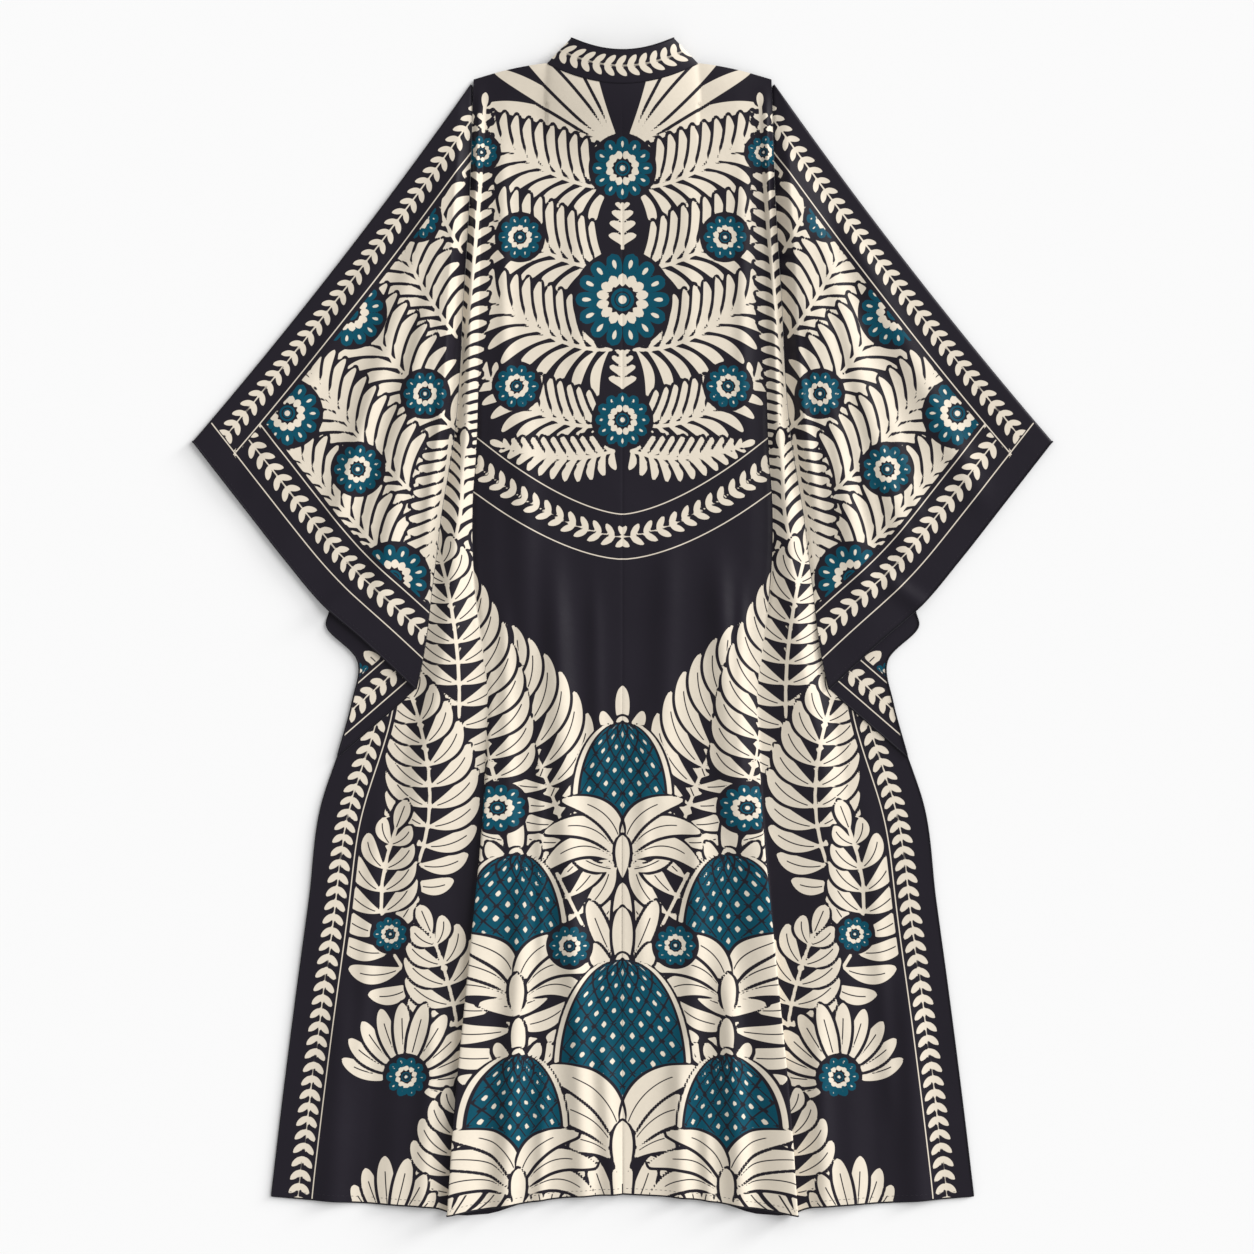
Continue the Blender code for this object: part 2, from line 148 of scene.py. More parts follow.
@dataclass
class Page:
    """Sheet of print: distance fields in millimetres on a fine lattice.

    Positive values of cream, teal and light lie inside a printed shape. Veins and lines are kept
    as a signed and an unsigned distance, so that they stay thin and unbroken on a coarser mesh.
    """

    low: Point
    high: Point
    step: float = 1.0
    xs: Array = field(init=False)
    ys: Array = field(init=False)
    fields: dict[Ink, Array] = field(init=False)

    def __post_init__(self) -> None:
        """Lay out the lattice and leave every field blank."""
        self.xs = np.arange(self.low[0], self.high[0] + self.step, self.step)
        self.ys = np.arange(self.low[1], self.high[1] + self.step, self.step)
        shape = (len(self.ys), len(self.xs))
        self.fields = {ink: np.full(shape, ink.blank) for ink in Ink}

    def window(self, xs: Array, ys: Array, margin: float) -> Part | None:
        """Find the part of the lattice round some points.

        Args:
            xs: The points' x.
            ys: The points' y.
            margin: Room kept round them.

        Returns:
            Row and column slices, or None where the points lie off the page.
        """
        c0, c1 = np.searchsorted(self.xs, (xs.min() - margin, xs.max() + margin))
        r0, r1 = np.searchsorted(self.ys, (ys.min() - margin, ys.max() + margin))
        if c0 >= c1 or r0 >= r1:
            return None
        return slice(r0, r1), slice(c0, c1)

    def grid(self, part: Part) -> tuple[Array, Array]:
        """Find the coordinates of one part of the lattice.

        Args:
            part: Row and column slices.

        Returns:
            The x and y of its points.
        """
        return np.meshgrid(self.xs[part[1]], self.ys[part[0]])

    def add(self, ink: Ink, part: Part, value: Array) -> None:
        """Join a shape to one of the filled fields.

        Args:
            ink: The field.
            part: Part of the lattice.
            value: Distances into the shape there.
        """
        self.fields[ink][part] = np.maximum(self.fields[ink][part], value)

    def trace(self, near: Ink, far: Ink, part: Part, signed: Array, away: Array) -> None:
        """Join a thin line to a pair of line fields.

        Args:
            near: Field of signed distances.
            far: Field of unsigned distances.
            part: Part of the lattice.
            signed: The line's signed distances there.
            away: Its unsigned distances there, which grow past its ends too.
        """
        closer = away < self.fields[far][part]
        self.fields[near][part] = np.where(closer, signed, self.fields[near][part])
        self.fields[far][part] = np.where(closer, away, self.fields[far][part])

    def clear(self, part: Part, value: Array) -> None:
        """Take the print away where a value is positive.

        Args:
            part: Part of the lattice.
            value: Distances into the bared place there.
        """
        for ink in (Ink.CREAM, Ink.TEAL, Ink.LIGHT):
            self.fields[ink][part] = np.minimum(self.fields[ink][part], -value)
        self.fields[Ink.VEIN_FAR][part] = np.where(value > -1, FAR, self.fields[Ink.VEIN_FAR][part])

    def read(self, ink: Ink, x: Array, y: Array) -> Array:
        """Sample a field between its lattice points.

        Args:
            ink: The field.
            x: Places across the page.
            y: Places up the page.

        Returns:
            The field's values.
        """
        table = self.fields[ink]
        c = np.clip((x - self.low[0]) / self.step, 0, len(self.xs) - 1.001)
        r = np.clip((y - self.low[1]) / self.step, 0, len(self.ys) - 1.001)
        c0, r0 = c.astype(int), r.astype(int)
        fc, fr = c - c0, r - r0
        low = table[r0, c0] * (1 - fc) + table[r0, c0 + 1] * fc
        high = table[r0 + 1, c0] * (1 - fc) + table[r0 + 1, c0 + 1] * fc
        return low * (1 - fr) + high * fr


@dataclass(frozen=True)
class Leaf:
    """Shape of one printed leaf: slender at its base, fuller towards its tip."""

    half: float
    bend: float = 0.0
    base_power: float = 0.85
    tip_power: float = 0.55
    vein: bool = False
    gap: float = 0.0

    def draw(self, page: Page, ink: Ink | None, base: Point, tip: Point) -> None:
        """Print the leaf, with a gap of bare ground round it where it has one.

        Args:
            page: The page to print on.
            ink: The field to print in, or None to bare the ground only.
            base: Where the leaf starts.
            tip: Where it ends.
        """
        dx, dy = tip[0] - base[0], tip[1] - base[1]
        length = math.hypot(dx, dy)
        if length < 1:
            return
        reach = abs(self.bend) + self.half + 4 + self.gap
        part = page.window(np.array([base[0], tip[0]]), np.array([base[1], tip[1]]), reach)
        if part is None:
            return
        x, y = page.grid(part)
        t = ((x - base[0]) * dx + (y - base[1]) * dy) / length**2
        across = ((y - base[1]) * dx - (x - base[0]) * dy) / length
        inside = np.clip(t, 0, 1)
        across = across - self.bend * 4 * inside * (1 - inside)
        beyond = np.abs(t - inside) * length
        peak = self.base_power / (self.base_power + self.tip_power)
        scale = peak**self.base_power * (1 - peak) ** self.tip_power
        half = self.half * inside**self.base_power * (1 - inside) ** self.tip_power / scale
        shape = np.where(beyond > 0, -np.hypot(across, beyond), half - np.abs(across))
        if self.gap:
            page.clear(part, shape + self.gap * smooth((t - 0.08) / 0.24))
        if ink is None:
            page.clear(part, shape)
            return
        page.add(ink, part, shape)
        if self.vein:
            over = np.maximum(np.abs(t - 0.45) - 0.30, 0) * length
            page.trace(Ink.VEIN, Ink.VEIN_FAR, part, across, np.hypot(across, over))


def turned(direction: Array, degrees: float) -> Array:
    """Turn a plan direction anticlockwise.

    Args:
        direction: The direction.
        degrees: The angle.

    Returns:
        The turned direction.
    """
    c, s = math.cos(math.radians(degrees)), math.sin(math.radians(degrees))
    return np.array([c * direction[0] - s * direction[1], s * direction[0] + c * direction[1]])


@dataclass(frozen=True)
class Frond:
    """Curved stem with leaflets on its sides that shorten towards its tip."""

    start: Point
    pull: Point
    end: Point
    reach: float
    pitch: float = 12.5
    half: float = 5.0
    spread: tuple[float, float] = (74.0, 30.0)
    sides: tuple[int, ...] = (-1, 1)
    curl: float = -0.14
    vein: bool = False
    gap: float = LEAF_GAP
    taper: float = 0.16

    def spine(self, t: float) -> tuple[Array, Array]:
        """Follow the stem.

        Args:
            t: Share of its length.

        Returns:
            The stem's place there and its unit direction.
        """
        a, b, c = (np.array(p, float) for p in (self.start, self.pull, self.end))
        place = a * (1 - t) ** 2 + 2 * b * t * (1 - t) + c * t * t
        along = 2 * (b - a) * (1 - t) + 2 * (c - b) * t
        return place, along / np.hypot(*along)

    def draw(self, page: Page) -> None:
        """Print the frond in cream, each leaflet over the one below it, then its stem.

        Args:
            page: The page to print on.
        """
        steps = [self.spine(t)[0] for t in np.linspace(0, 1, 9)]
        length = sum(float(np.hypot(*(b - a))) for a, b in zip(steps, steps[1:]))
        count = max(2, round(length / self.pitch))
        for ink in (None, Ink.CREAM):
            for i in range(count):
                t = (i + 0.5) / (count + 0.2)
                place, along = self.spine(t)
                share = math.sin(math.pi * min(1.0, self.taper + (0.96 - self.taper) * t)) ** 0.6
                angle = self.spread[0] + (self.spread[1] - self.spread[0]) * t
                for side in self.sides:
                    tip = place + turned(along, side * angle) * self.reach * share
                    self.leaf(share, side, ink).draw(page, ink, tuple(place), tuple(tip))
        place, along = self.spine(1.0)
        tip = place + along * self.reach * 0.5
        self.leaf(0.6, 0, Ink.CREAM).draw(page, Ink.CREAM, tuple(place - along * 4), tuple(tip))
        stem = Leaf(half=2.1, base_power=0.05, tip_power=0.05)
        for a, b in zip(steps, steps[1:]):
            stem.draw(page, Ink.CREAM, tuple(a), tuple(b))

    def leaf(self, share: float, side: int, ink: Ink | None) -> Leaf:
        """Return one leaflet, or the wider place bared for it.

        Args:
            share: Its share of the longest leaflet's reach.
            side: The side that it grows on, or 0 at the tip.
            ink: None for the bared place.

        Returns:
            The leaflet.
        """
        bend = side * self.curl * self.reach * share
        if ink is None:
            return Leaf(self.pitch * 0.72, bend, 0.4, 0.4)
        return Leaf(self.half * (0.5 + 0.5 * share), bend, vein=self.vein, gap=self.gap)


@dataclass(frozen=True)
class Rosette:
    """Round flower of pointed teal petals round a ring of cream ones."""

    centre: Point
    radius: float
    petals: int = 12
    clearance: float = 4.5

    def draw(self, page: Page) -> None:
        """Clear the ground under the flower and print it.

        Args:
            page: The page to print on.
        """
        cx, cy = self.centre
        r = self.radius
        part = page.window(np.array([cx - r, cx + r]), np.array([cy - r, cy + r]), self.clearance + 4)
        if part is None:
            return
        x, y = page.grid(part)
        away = np.hypot(x - cx, y - cy)
        page.clear(part, r + self.clearance - away)
        turn = 2 * math.pi / self.petals
        petal = Leaf(half=0.72 * r * math.sin(turn / 2), base_power=0.7, tip_power=0.34)
        for k in range(self.petals):
            way = np.array([math.cos(k * turn), math.sin(k * turn)])
            self.ray(page, petal, Ink.TEAL, way, 0.40, 1.0)
            half_way = turned(way, math.degrees(turn / 2))
            inner = Leaf(half=0.42 * r * math.sin(turn / 2), base_power=0.5, tip_power=0.4)
            self.ray(page, inner, Ink.LIGHT, half_way, 0.30, 0.56)
            self.ray(page, Leaf(half=0.045 * r), Ink.LIGHT, way, 0.66, 0.88)
        page.add(Ink.TEAL, part, 0.25 * r - away)
        page.add(Ink.LIGHT, part, 0.09 * r - away)
        ring = 0.165 * r - away
        page.trace(Ink.VEIN, Ink.VEIN_FAR, part, ring, np.abs(ring))

    def ray(self, page: Page, leaf: Leaf, ink: Ink, way: Array, inner: float, outer: float) -> None:
        """Print one petal.

        Args:
            page: The page to print on.
            leaf: The petal's shape.
            ink: The field to print in.
            way: The petal's unit direction.
            inner: Share of the flower's radius where it starts.
            outer: Share where it ends.
        """
        base, tip = (np.array(self.centre) + way * self.radius * share for share in (inner, outer))
        leaf.draw(page, ink, tuple(base), tuple(tip))


@dataclass(frozen=True)
class Spray:
    """Fan of leaves that spring from one place, the middle ones on top."""

    foot: Point
    first: float
    last: float
    count: int
    length: float
    half: float
    curl: float = 0.10
    shorten: float = 0.35
    vein: bool = True

    def draw(self, page: Page) -> None:
        """Print the fan.

        Args:
            page: The page to print on.
        """
        foot = np.array(self.foot)
        shares = [i / max(1, self.count - 1) for i in range(self.count)]
        for t in sorted(shares, key=lambda share: -abs(2 * share - 1)):
            angle = self.first + (self.last - self.first) * t
            length = self.length * (1 - self.shorten * abs(2 * t - 1))
            way = turned(np.array([1.0, 0.0]), angle)
            bend = -self.curl * length * (1 - 2 * t) * math.copysign(1, self.last - self.first)
            leaf = Leaf(self.half * (0.6 + 0.4 * length / self.length), bend, vein=self.vein, gap=LEAF_GAP)
            base = foot + way * self.length * 0.06
            leaf.draw(page, Ink.CREAM, tuple(base), tuple(foot + way * length))


@dataclass(frozen=True)
class Cone:
    """Teal cone of small scales, ringed with cream, on leaves that curl away at its foot."""

    foot: Point
    height: float
    width: float
    rows: float = 6.0
    columns: float = 5.0
    leaves: int = 3

    def draw(self, page: Page) -> None:
        """Clear the ground and print the crown, the cone and the leaves.

        Args:
            page: The page to print on.
        """
        x0, y0 = self.foot
        h, w = self.height, self.width
        Spray((x0, y0 + 0.90 * h), 50, 130, 3, 0.36 * h, 0.050 * h, vein=False).draw(page)
        part = page.window(np.array([x0 - w / 2, x0 + w / 2]), np.array([y0, y0 + h]), 16)
        if part is not None:
            self.body(page, part)
        for side in (-1, 1):
            for k in range(self.leaves):
                lean = 104 - 27 * k
                way = turned(np.array([0.0, 1.0]), side * lean)
                tip = np.array([x0, y0]) + way * w * (0.98 - 0.02 * k) + np.array([0, 0.10 * h])
                leaf = Leaf(0.075 * h, -side * 0.15 * h, vein=True, gap=LEAF_GAP)
                leaf.draw(page, Ink.CREAM, (x0, y0 - 0.01 * h), tuple(tip))
        Leaf(0.05 * h, gap=LEAF_GAP).draw(page, Ink.CREAM, (x0, y0 - 0.10 * h), (x0, y0 + 0.20 * h))

    def body(self, page: Page, part: Part) -> None:
        """Print the cone itself: its outline, its crossing lines and a fleck on each scale.

        Args:
            page: The page to print on.
            part: Part of the lattice round the cone.
        """
        x, y = page.grid(part)
        t = (y - self.foot[1]) / self.height
        inside = np.clip(t, 0, 1)
        half = self.width / 2 * (inside + 0.01) ** 0.42 * (1 - inside) ** 0.50 / 0.525
        beyond = np.abs(t - inside) * self.height
        side = np.abs(x - self.foot[0])
        shape = np.where(beyond > 0, -np.hypot(side, beyond), (half - side) * 0.9)
        shape = np.minimum(shape, (t - 0.12) * self.height)
        page.clear(part, shape + 11)
        page.add(Ink.CREAM, part, 2.5 - np.abs(shape + 5.5))
        page.add(Ink.TEAL, part, shape)
        across = np.clip((x - self.foot[0]) / np.maximum(half, 1), -1, 1)
        row = t * self.rows + 0.5 * across**2
        steep = np.hypot(self.columns / 2 / np.maximum(half, 6), self.rows / self.height)
        lines = [row + turn * across * self.columns / 2 for turn in (-1, 1)]
        for line in lines:
            signed = (line - np.round(line)) / steep
            page.trace(Ink.VEIN, Ink.VEIN_FAR, part, signed, np.maximum(np.abs(signed), -shape))
        offs = [np.abs(line - np.floor(line) - 0.5) for line in lines]
        fleck = (0.15 - np.maximum(*offs)) / steep
        page.add(Ink.LIGHT, part, np.minimum(fleck, shape - 3))


Motif = Frond | Rosette | Spray | Cone


def softened(points: Array, step: float = 11.0, reach: int = 4) -> Array:
    """Resample a path evenly and round its corners.

    Args:
        points: The path's corners.
        step: Distance between the new points.
        reach: Count of neighbours on each side that share in a point's place.

    Returns:
        The new points.
    """
    run = np.concatenate([[0], np.cumsum(np.hypot(*np.diff(points, axis=0).T))])
    even = np.linspace(0, run[-1], max(2 * reach + 2, round(run[-1] / step)))
    path = np.stack([np.interp(even, run, points[:, k]) for k in range(2)], axis=-1)
    first = 2 * path[0] - path[reach:0:-1]
    last = 2 * path[-1] - path[-2 : -reach - 2 : -1]
    padded = np.vstack([first, path, last])
    kernel = np.full(2 * reach + 1, 1 / (2 * reach + 1))
    return np.stack([np.convolve(padded[:, k], kernel, "valid") for k in range(2)], axis=-1)


@dataclass
class Route:
    """Path on a page, with each lattice point's distance from it and its share of length."""

    page: Page
    points: Array
    away: Array = field(init=False)
    signed: Array = field(init=False)
    along: Array = field(init=False)

    def __post_init__(self) -> None:
        """Measure the whole page against the path."""
        x, y = np.meshgrid(self.page.xs, self.page.ys)
        self.away = np.full(x.shape, 1e6)
        self.signed = np.full(x.shape, 1e6)
        self.along = np.zeros(x.shape)
        run = 0.0
        for a, b in zip(self.points, self.points[1:]):
            dx, dy = b - a
            length = math.hypot(dx, dy)
            t = np.clip(((x - a[0]) * dx + (y - a[1]) * dy) / length**2, 0, 1)
            away = np.hypot(x - a[0] - t * dx, y - a[1] - t * dy)
            side = ((y - a[1]) * dx - (x - a[0]) * dy) / length
            closer = away < self.away
            self.signed = np.where(closer, np.copysign(away, side), self.signed)
            self.along = np.where(closer, run + t * length, self.along)
            self.away = np.where(closer, away, self.away)
            run += length

    def chain(self, offset: float, pitch: float, leaf: float, half: float, keep: Array | float = FAR) -> None:
        """Print pairs of small leaves along the path, at a distance from it.

        Args:
            offset: Signed distance of the chain's stem.
            pitch: Length of one pair.
            leaf: Length of a leaf.
            half: Half its width.
            keep: Where the chain may be printed, as distances that are positive there.
        """
        across = self.signed - offset
        s = self.along / pitch
        for shift in (0, 1):
            local = (s - np.floor(s) - shift) * pitch
            lean = np.abs(across)
            for_leaf = (local * 0.72 + lean * 0.69) / leaf
            off = lean * 0.72 - local * 0.69
            t = np.clip(for_leaf, 0, 1)
            shape = half * t**0.6 * (1 - t) ** 0.7 / 0.405 - np.abs(off - 0.6)
            shape = np.where(for_leaf == t, shape, -np.hypot(off, np.abs(for_leaf - t) * leaf))
            self.page.add(Ink.CREAM, WHOLE, np.minimum(shape, keep))
        self.page.add(Ink.CREAM, WHOLE, np.minimum(0.9 - np.abs(across), keep))

    def line(self, offset: float, keep: Array | float = FAR) -> None:
        """Print one thin line beside the path.

        Args:
            offset: Signed distance of the line.
            keep: Where the line may be printed, as distances that are positive there.
        """
        signed = self.signed - offset
        away = np.maximum(np.abs(signed), -keep)
        self.page.trace(Ink.LINE, Ink.LINE_FAR, WHOLE, signed, away)


@dataclass(frozen=True)
class Fold:
    """Soft ridge of cloth laid along a straight run."""

    start: Point
    end: Point
    half: float
    height: float

    def at(self, x: Array, y: Array) -> Array:
        """Measure the fold.

        Args:
            x: Places across the cloth.
            y: Places up the cloth.

        Returns:
            The height that the fold adds there.
        """
        length = math.hypot(self.end[0] - self.start[0], self.end[1] - self.start[1])
        dx, dy = (self.end[0] - self.start[0]) / length, (self.end[1] - self.start[1]) / length
        along = ((x - self.start[0]) * dx + (y - self.start[1]) * dy) / length
        across = (x - self.start[0]) * dy - (y - self.start[1]) * dx
        ends = smooth(along / 0.3) * smooth((1.12 - along) / 0.25)
        return self.height * ends * np.exp(-((across / self.half) ** 2))


def fold_list(rows: tuple[tuple[float, ...], ...]) -> tuple[Fold, ...]:
    """Make folds from a table.

    Args:
        rows: Start x, start y, end x, end y, half width and height of each fold.

    Returns:
        The folds.
    """
    return tuple(Fold((a, b), (c, d), half, height) for a, b, c, d, half, height in rows)


@dataclass(frozen=True)
class Lines:
    """Outline and guide lines of one half of the robe."""

    shoulder_tip: Point = (186.0, 683.0)
    sleeve_tip: Point = (537.0, 231.0)
    neck_side: Point = (95.0, 702.0)
    underarm_y: float = -78.0
    hem_y: float = -719.0
    seam_gap: float = 0.3
    guides: Table = Table(
        (
            (683, 168, 178, 186), (533, 175, 183, 191), (400, 178, 189, 199), (300, 180, 192, 204),
            (229, 182, 196, 211), (153, 187, 204, 224), (50, 184, 213, 237), (-42, 172, 222, 249),
            (-78, 167, 228, 257), (-127, 168, 238, 269), (-217, 171, 252, 286), (-350, 181, 262, 300),
            (-470, 191, 270, 309), (-600, 202, 279, 317), (-735, 210, 286, 324),
        )
    )
    side: Table = Table(
        (
            (-78, 330), (-130, 344), (-164, 356), (-217, 374), (-342, 391), (-467, 408), (-592, 424),
            (-735, 441),
        )
    )
    hem: Table = Table(
        (
            (0, -708), (79, -713), (129, -720), (179, -728), (206, -734), (232, -726), (279, -722),
            (366, -717), (441, -711),
        )
    )
    back_cuff: Table = Table(
        (
            (0, 537, 231), (0.22, 480, 158), (0.45, 421, 83), (0.61, 379, 33), (0.79, 322, -17),
            (1, 259, -76),
        )
    )
    front_cuff: Table = Table(
        (
            (0, 537, 231), (0.22, 480, 158), (0.45, 421, 83), (0.58, 381, 35), (0.64, 367, 22),
            (0.70, 370, 1), (0.80, 331, -42), (0.90, 338, -96), (1, 356, -163),
        )
    )
    back_neck: tuple[float, float, float] = (676.0, 26.0, 2.0)
    front_neck: tuple[float, float, float] = (636.0, 66.0, 2.2)

    def neckline(self, neck: tuple[float, float, float], x: Array) -> Array:
        """Follow a neckline.

        Args:
            neck: Its y at the centre, its rise to the side and the power of its curve.
            x: Distances from the centre.

        Returns:
            Its y there.
        """
        centre, rise, power = neck
        return centre + rise * np.abs(x / self.neck_side[0]) ** power

    def shoulder_run(self, x: Array) -> Array:
        """Return the share of the way from the neck to the shoulder tip."""
        return np.clip((x - self.neck_side[0]) / (self.shoulder_tip[0] - self.neck_side[0]), 0, 1)

    def top(self, neck: tuple[float, float, float], x: Array) -> Array:
        """Follow the upper edge of the body: neckline, then shoulder.

        Args:
            neck: The neckline.
            x: Distances from the centre.

        Returns:
            The edge's y there.
        """
        run = self.shoulder_run(x)
        shoulder = self.neck_side[1] + (self.shoulder_tip[1] - self.neck_side[1]) * run
        shoulder = shoulder + 2.5 * np.sin(math.pi * run)
        return np.where(x < self.neck_side[0], self.neckline(neck, x), shoulder)

    def top_height(self, x: Array, layer: int) -> Array:
        """Measure the upper edge of a layer, which is spread apart at the neck and shuts at the tip.

        Args:
            x: Distances from the centre.
            layer: 1 for the back and -1 for a front.

        Returns:
            The edge's height there.
        """
        neck = NECK_RISE + layer * NECK_RISE * np.sqrt(np.clip(1 - (x / NECK_HALF) ** 2, 0, 1))
        shoulder = NECK_RISE - 8.6 * smooth(self.shoulder_run(x)) + layer * 1.95
        return np.where(x < self.neck_side[0], neck, shoulder)

    def level(self, neck: tuple[float, float, float], x: Array, level: Array) -> Array:
        """Bend a level, which follows the neckline at the top and the hem at the foot.

        Args:
            neck: The neckline.
            x: Distances from the centre.
            level: The level's y before it is bent.

        Returns:
            Its y there.
        """
        down = (self.shoulder_tip[1] - level) / (self.shoulder_tip[1] - self.hem_y)
        at_top = (self.top(neck, x) - self.shoulder_tip[1]) * (1 - down)
        return level + at_top + (self.hem.at(x) - self.hem_y) * down**4


LINES = Lines()


def new_material(name: str, **values: float) -> tuple[bpy.types.Material, bpy.types.Node]:
    """Make a material with one shader.

    Args:
        name: The material's name.
        values: The shader's inputs, with underscores for spaces.

    Returns:
        The material and its shader.
    """
    made = bpy.data.materials.new(name)
    made.use_nodes = True
    shader = made.node_tree.nodes["Principled BSDF"]
    for key, value in values.items():
        shader.inputs[key.replace("_", " ")].default_value = value
    return made, shader


@dataclass(frozen=True)
class Nodes:
    """Writer of one material's nodes."""

    tree: bpy.types.NodeTree

    def node(self, kind: str, inputs: dict[str | int, object], output: str | int, **options: str) -> Socket:
        """Add one node.

        Args:
            kind: Its kind, without the word that all shader nodes start with.
            inputs: Values or sockets for its inputs, by name or place.
            output: The output that is read.
            options: Its settings.

        Returns:
            The output.
        """
        made = self.tree.nodes.new("ShaderNode" + kind)
        for key, value in options.items():
            setattr(made, key, value)
        for key, value in inputs.items():
            if isinstance(value, Socket):
                self.tree.links.new(value, made.inputs[key])
            else:
                made.inputs[key].default_value = value
        return made.outputs[output]

    def place(self) -> Socket:
        """Return the object's own coordinates."""
        return self.node("TexCoord", {}, "Object")

    def noise(self, place: Socket, scale: float, detail: float = 2.0) -> Socket:
        """Add a noise texture.

        Args:
            place: Coordinates that it reads.
            scale: Its scale.
            detail: Its detail.

        Returns:
            Its output.
        """
        return self.node("TexNoise", {"Scale": scale, "Detail": detail, "Vector": place}, "Fac")

    def bump(self, height: Socket, strength: float, distance: float, normal: Socket | None = None) -> Socket:
        """Add a bump.

        Args:
            height: Its heights.
            strength: Its strength.
            distance: Its depth in millimetres.
            normal: A bump that it lies on.

        Returns:
            The bumped normal.
        """
        inputs = {"Strength": strength, "Distance": distance * MM, "Height": height}
        return self.node("Bump", inputs if normal is None else inputs | {"Normal": normal}, "Normal")

    def mix(self, share: Socket, low: Tint, high: Tint) -> Socket:
        """Mix two colours.

        Args:
            share: Share of the second colour.
            low: The first colour, or a socket that gives it.
            high: The second colour, or a socket that gives it.

        Returns:
            The mixed colour.
        """
        low, high = ((*tint, 1) if isinstance(tint, tuple) else tint for tint in (low, high))
        return self.node("Mix", {"Factor": share, 6: low, 7: high}, 2, data_type="RGBA")

    def attribute(self, ink: Ink) -> Socket:
        """Return the cloth's own distance to a field's shapes."""
        return self.node("Attribute", {}, "Fac", attribute_name=ink.value)

    def ramp(self, value: Socket, low: float, high: float) -> Socket:
        """Add a smooth step between two values.

        Args:
            value: The value to step.
            low: Value that gives 0.
            high: Value that gives 1.

        Returns:
            The step's output.
        """
        inputs = {"From Min": low, "From Max": high, "Value": value}
        return self.node("MapRange", inputs, "Result", interpolation_type="SMOOTHSTEP")

    def inside(self, ink: Ink, edge: float) -> Socket:
        """Return where a filled field's shapes are, with an edge of some width."""
        return self.ramp(self.attribute(ink), -edge, edge)

    def thin(self, near: Ink, far: Ink, half: float, edge: float) -> Socket:
        """Find where a pair of line fields holds a line.

        Args:
            near: Field of signed distances.
            far: Field of unsigned distances.
            half: Half the line's width.
            edge: Width of its soft edge.

        Returns:
            1 on the line and 0 beside it.
        """
        off = self.node("Math", {0: self.attribute(near)}, 0, operation="ABSOLUTE")
        on_line = self.ramp(off, half + edge, half - edge)
        close = self.ramp(self.attribute(far), 3.2, 2.2)
        return self.node("Math", {0: on_line, 1: close}, 0, operation="MULTIPLY")


@dataclass(frozen=True)
class PrintedSilk:
    """Silk twill, printed and softly glossy, whose colours follow the cloth's distance fields."""

    name: str = "printed silk"
    ground: tuple[float, float, float] = (0.0118, 0.0098, 0.0150)
    cream: tuple[float, float, float] = (0.770, 0.690, 0.570)
    teal: tuple[float, float, float] = (0.0004, 0.059, 0.094)
    roughness: float = 0.42
    sheen: float = 0.06
    line_half: float = 0.68
    vein_half: float = 0.75
    edge: float = 0.28
    weave: float = 700.0

    def build(self) -> bpy.types.Material:
        """Make the material.

        Returns:
            The finished material.
        """
        made, shader = new_material(
            self.name,
            Roughness=self.roughness,
            Sheen_Weight=self.sheen,
            Sheen_Roughness=0.35,
            Specular_IOR_Level=0.13,
        )
        nodes = Nodes(made.node_tree)
        place = nodes.place()
        cloud = nodes.noise(place, 9.0, 3.0)
        dye = nodes.noise(place, 260.0)
        ground = nodes.mix(cloud, self.ground, tuple(1.35 * c for c in self.ground))
        cream = nodes.mix(dye, self.cream, tuple(0.93 * c for c in self.cream))
        teal = nodes.mix(cloud, self.teal, tuple(1.25 * c for c in self.teal))
        colour = nodes.mix(nodes.inside(Ink.CREAM, self.edge), ground, cream)
        colour = nodes.mix(nodes.inside(Ink.TEAL, self.edge), colour, teal)
        colour = nodes.mix(nodes.thin(Ink.VEIN, Ink.VEIN_FAR, self.vein_half, self.edge), colour, ground)
        colour = nodes.mix(nodes.inside(Ink.LIGHT, self.edge), colour, cream)
        colour = nodes.mix(nodes.thin(Ink.LINE, Ink.LINE_FAR, self.line_half, self.edge), colour, cream)
        made.node_tree.links.new(colour, shader.inputs["Base Color"])
        made.node_tree.links.new(self.weave_bump(nodes, place), shader.inputs["Normal"])
        return made

    def weave_bump(self, nodes: Nodes, place: Socket) -> Socket:
        """Add the twill's weave over small rumples.

        Args:
            nodes: The material's nodes.
            place: Object coordinates.

        Returns:
            The bumped normal.
        """
        turn = nodes.node("Mapping", {"Rotation": (0, 0, math.radians(63)), "Vector": place}, "Vector")
        twill = nodes.node("TexWave", {"Scale": self.weave, "Distortion": 0.6, "Vector": turn}, "Fac")
        rumples = nodes.bump(nodes.noise(place, 38.0, 3.0), 0.35, 1.1)
        return nodes.bump(twill, 0.12, 0.05, rumples)


@dataclass(frozen=True)
class Thread:
    """Plain spun or rolled silk in one colour."""

    name: str
    colour: tuple[float, float, float]
    roughness: float = 0.6

    def build(self) -> bpy.types.Material:
        """Make the material.

        Returns:
            The finished material.
        """
        made, shader = new_material(
            self.name, Roughness=self.roughness, Sheen_Weight=0.05, Specular_IOR_Level=0.15
        )
        nodes = Nodes(made.node_tree)
        noise = nodes.noise(nodes.place(), 900.0)
        colour = nodes.mix(noise, self.colour, tuple(1.5 * c for c in self.colour))
        made.node_tree.links.new(colour, shader.inputs["Base Color"])
        made.node_tree.links.new(nodes.bump(noise, 0.3, 0.1), shader.inputs["Normal"])
        return made


def placed(name: str, data: bpy.types.ID) -> bpy.types.Object:
    """Put some data into the scene, at the origin.

    Args:
        name: The new object's name.
        data: Its mesh, curve, light or camera.

    Returns:
        The new object.
    """
    made = bpy.data.objects.new(name, data)
    bpy.context.scene.collection.objects.link(made)
    return made


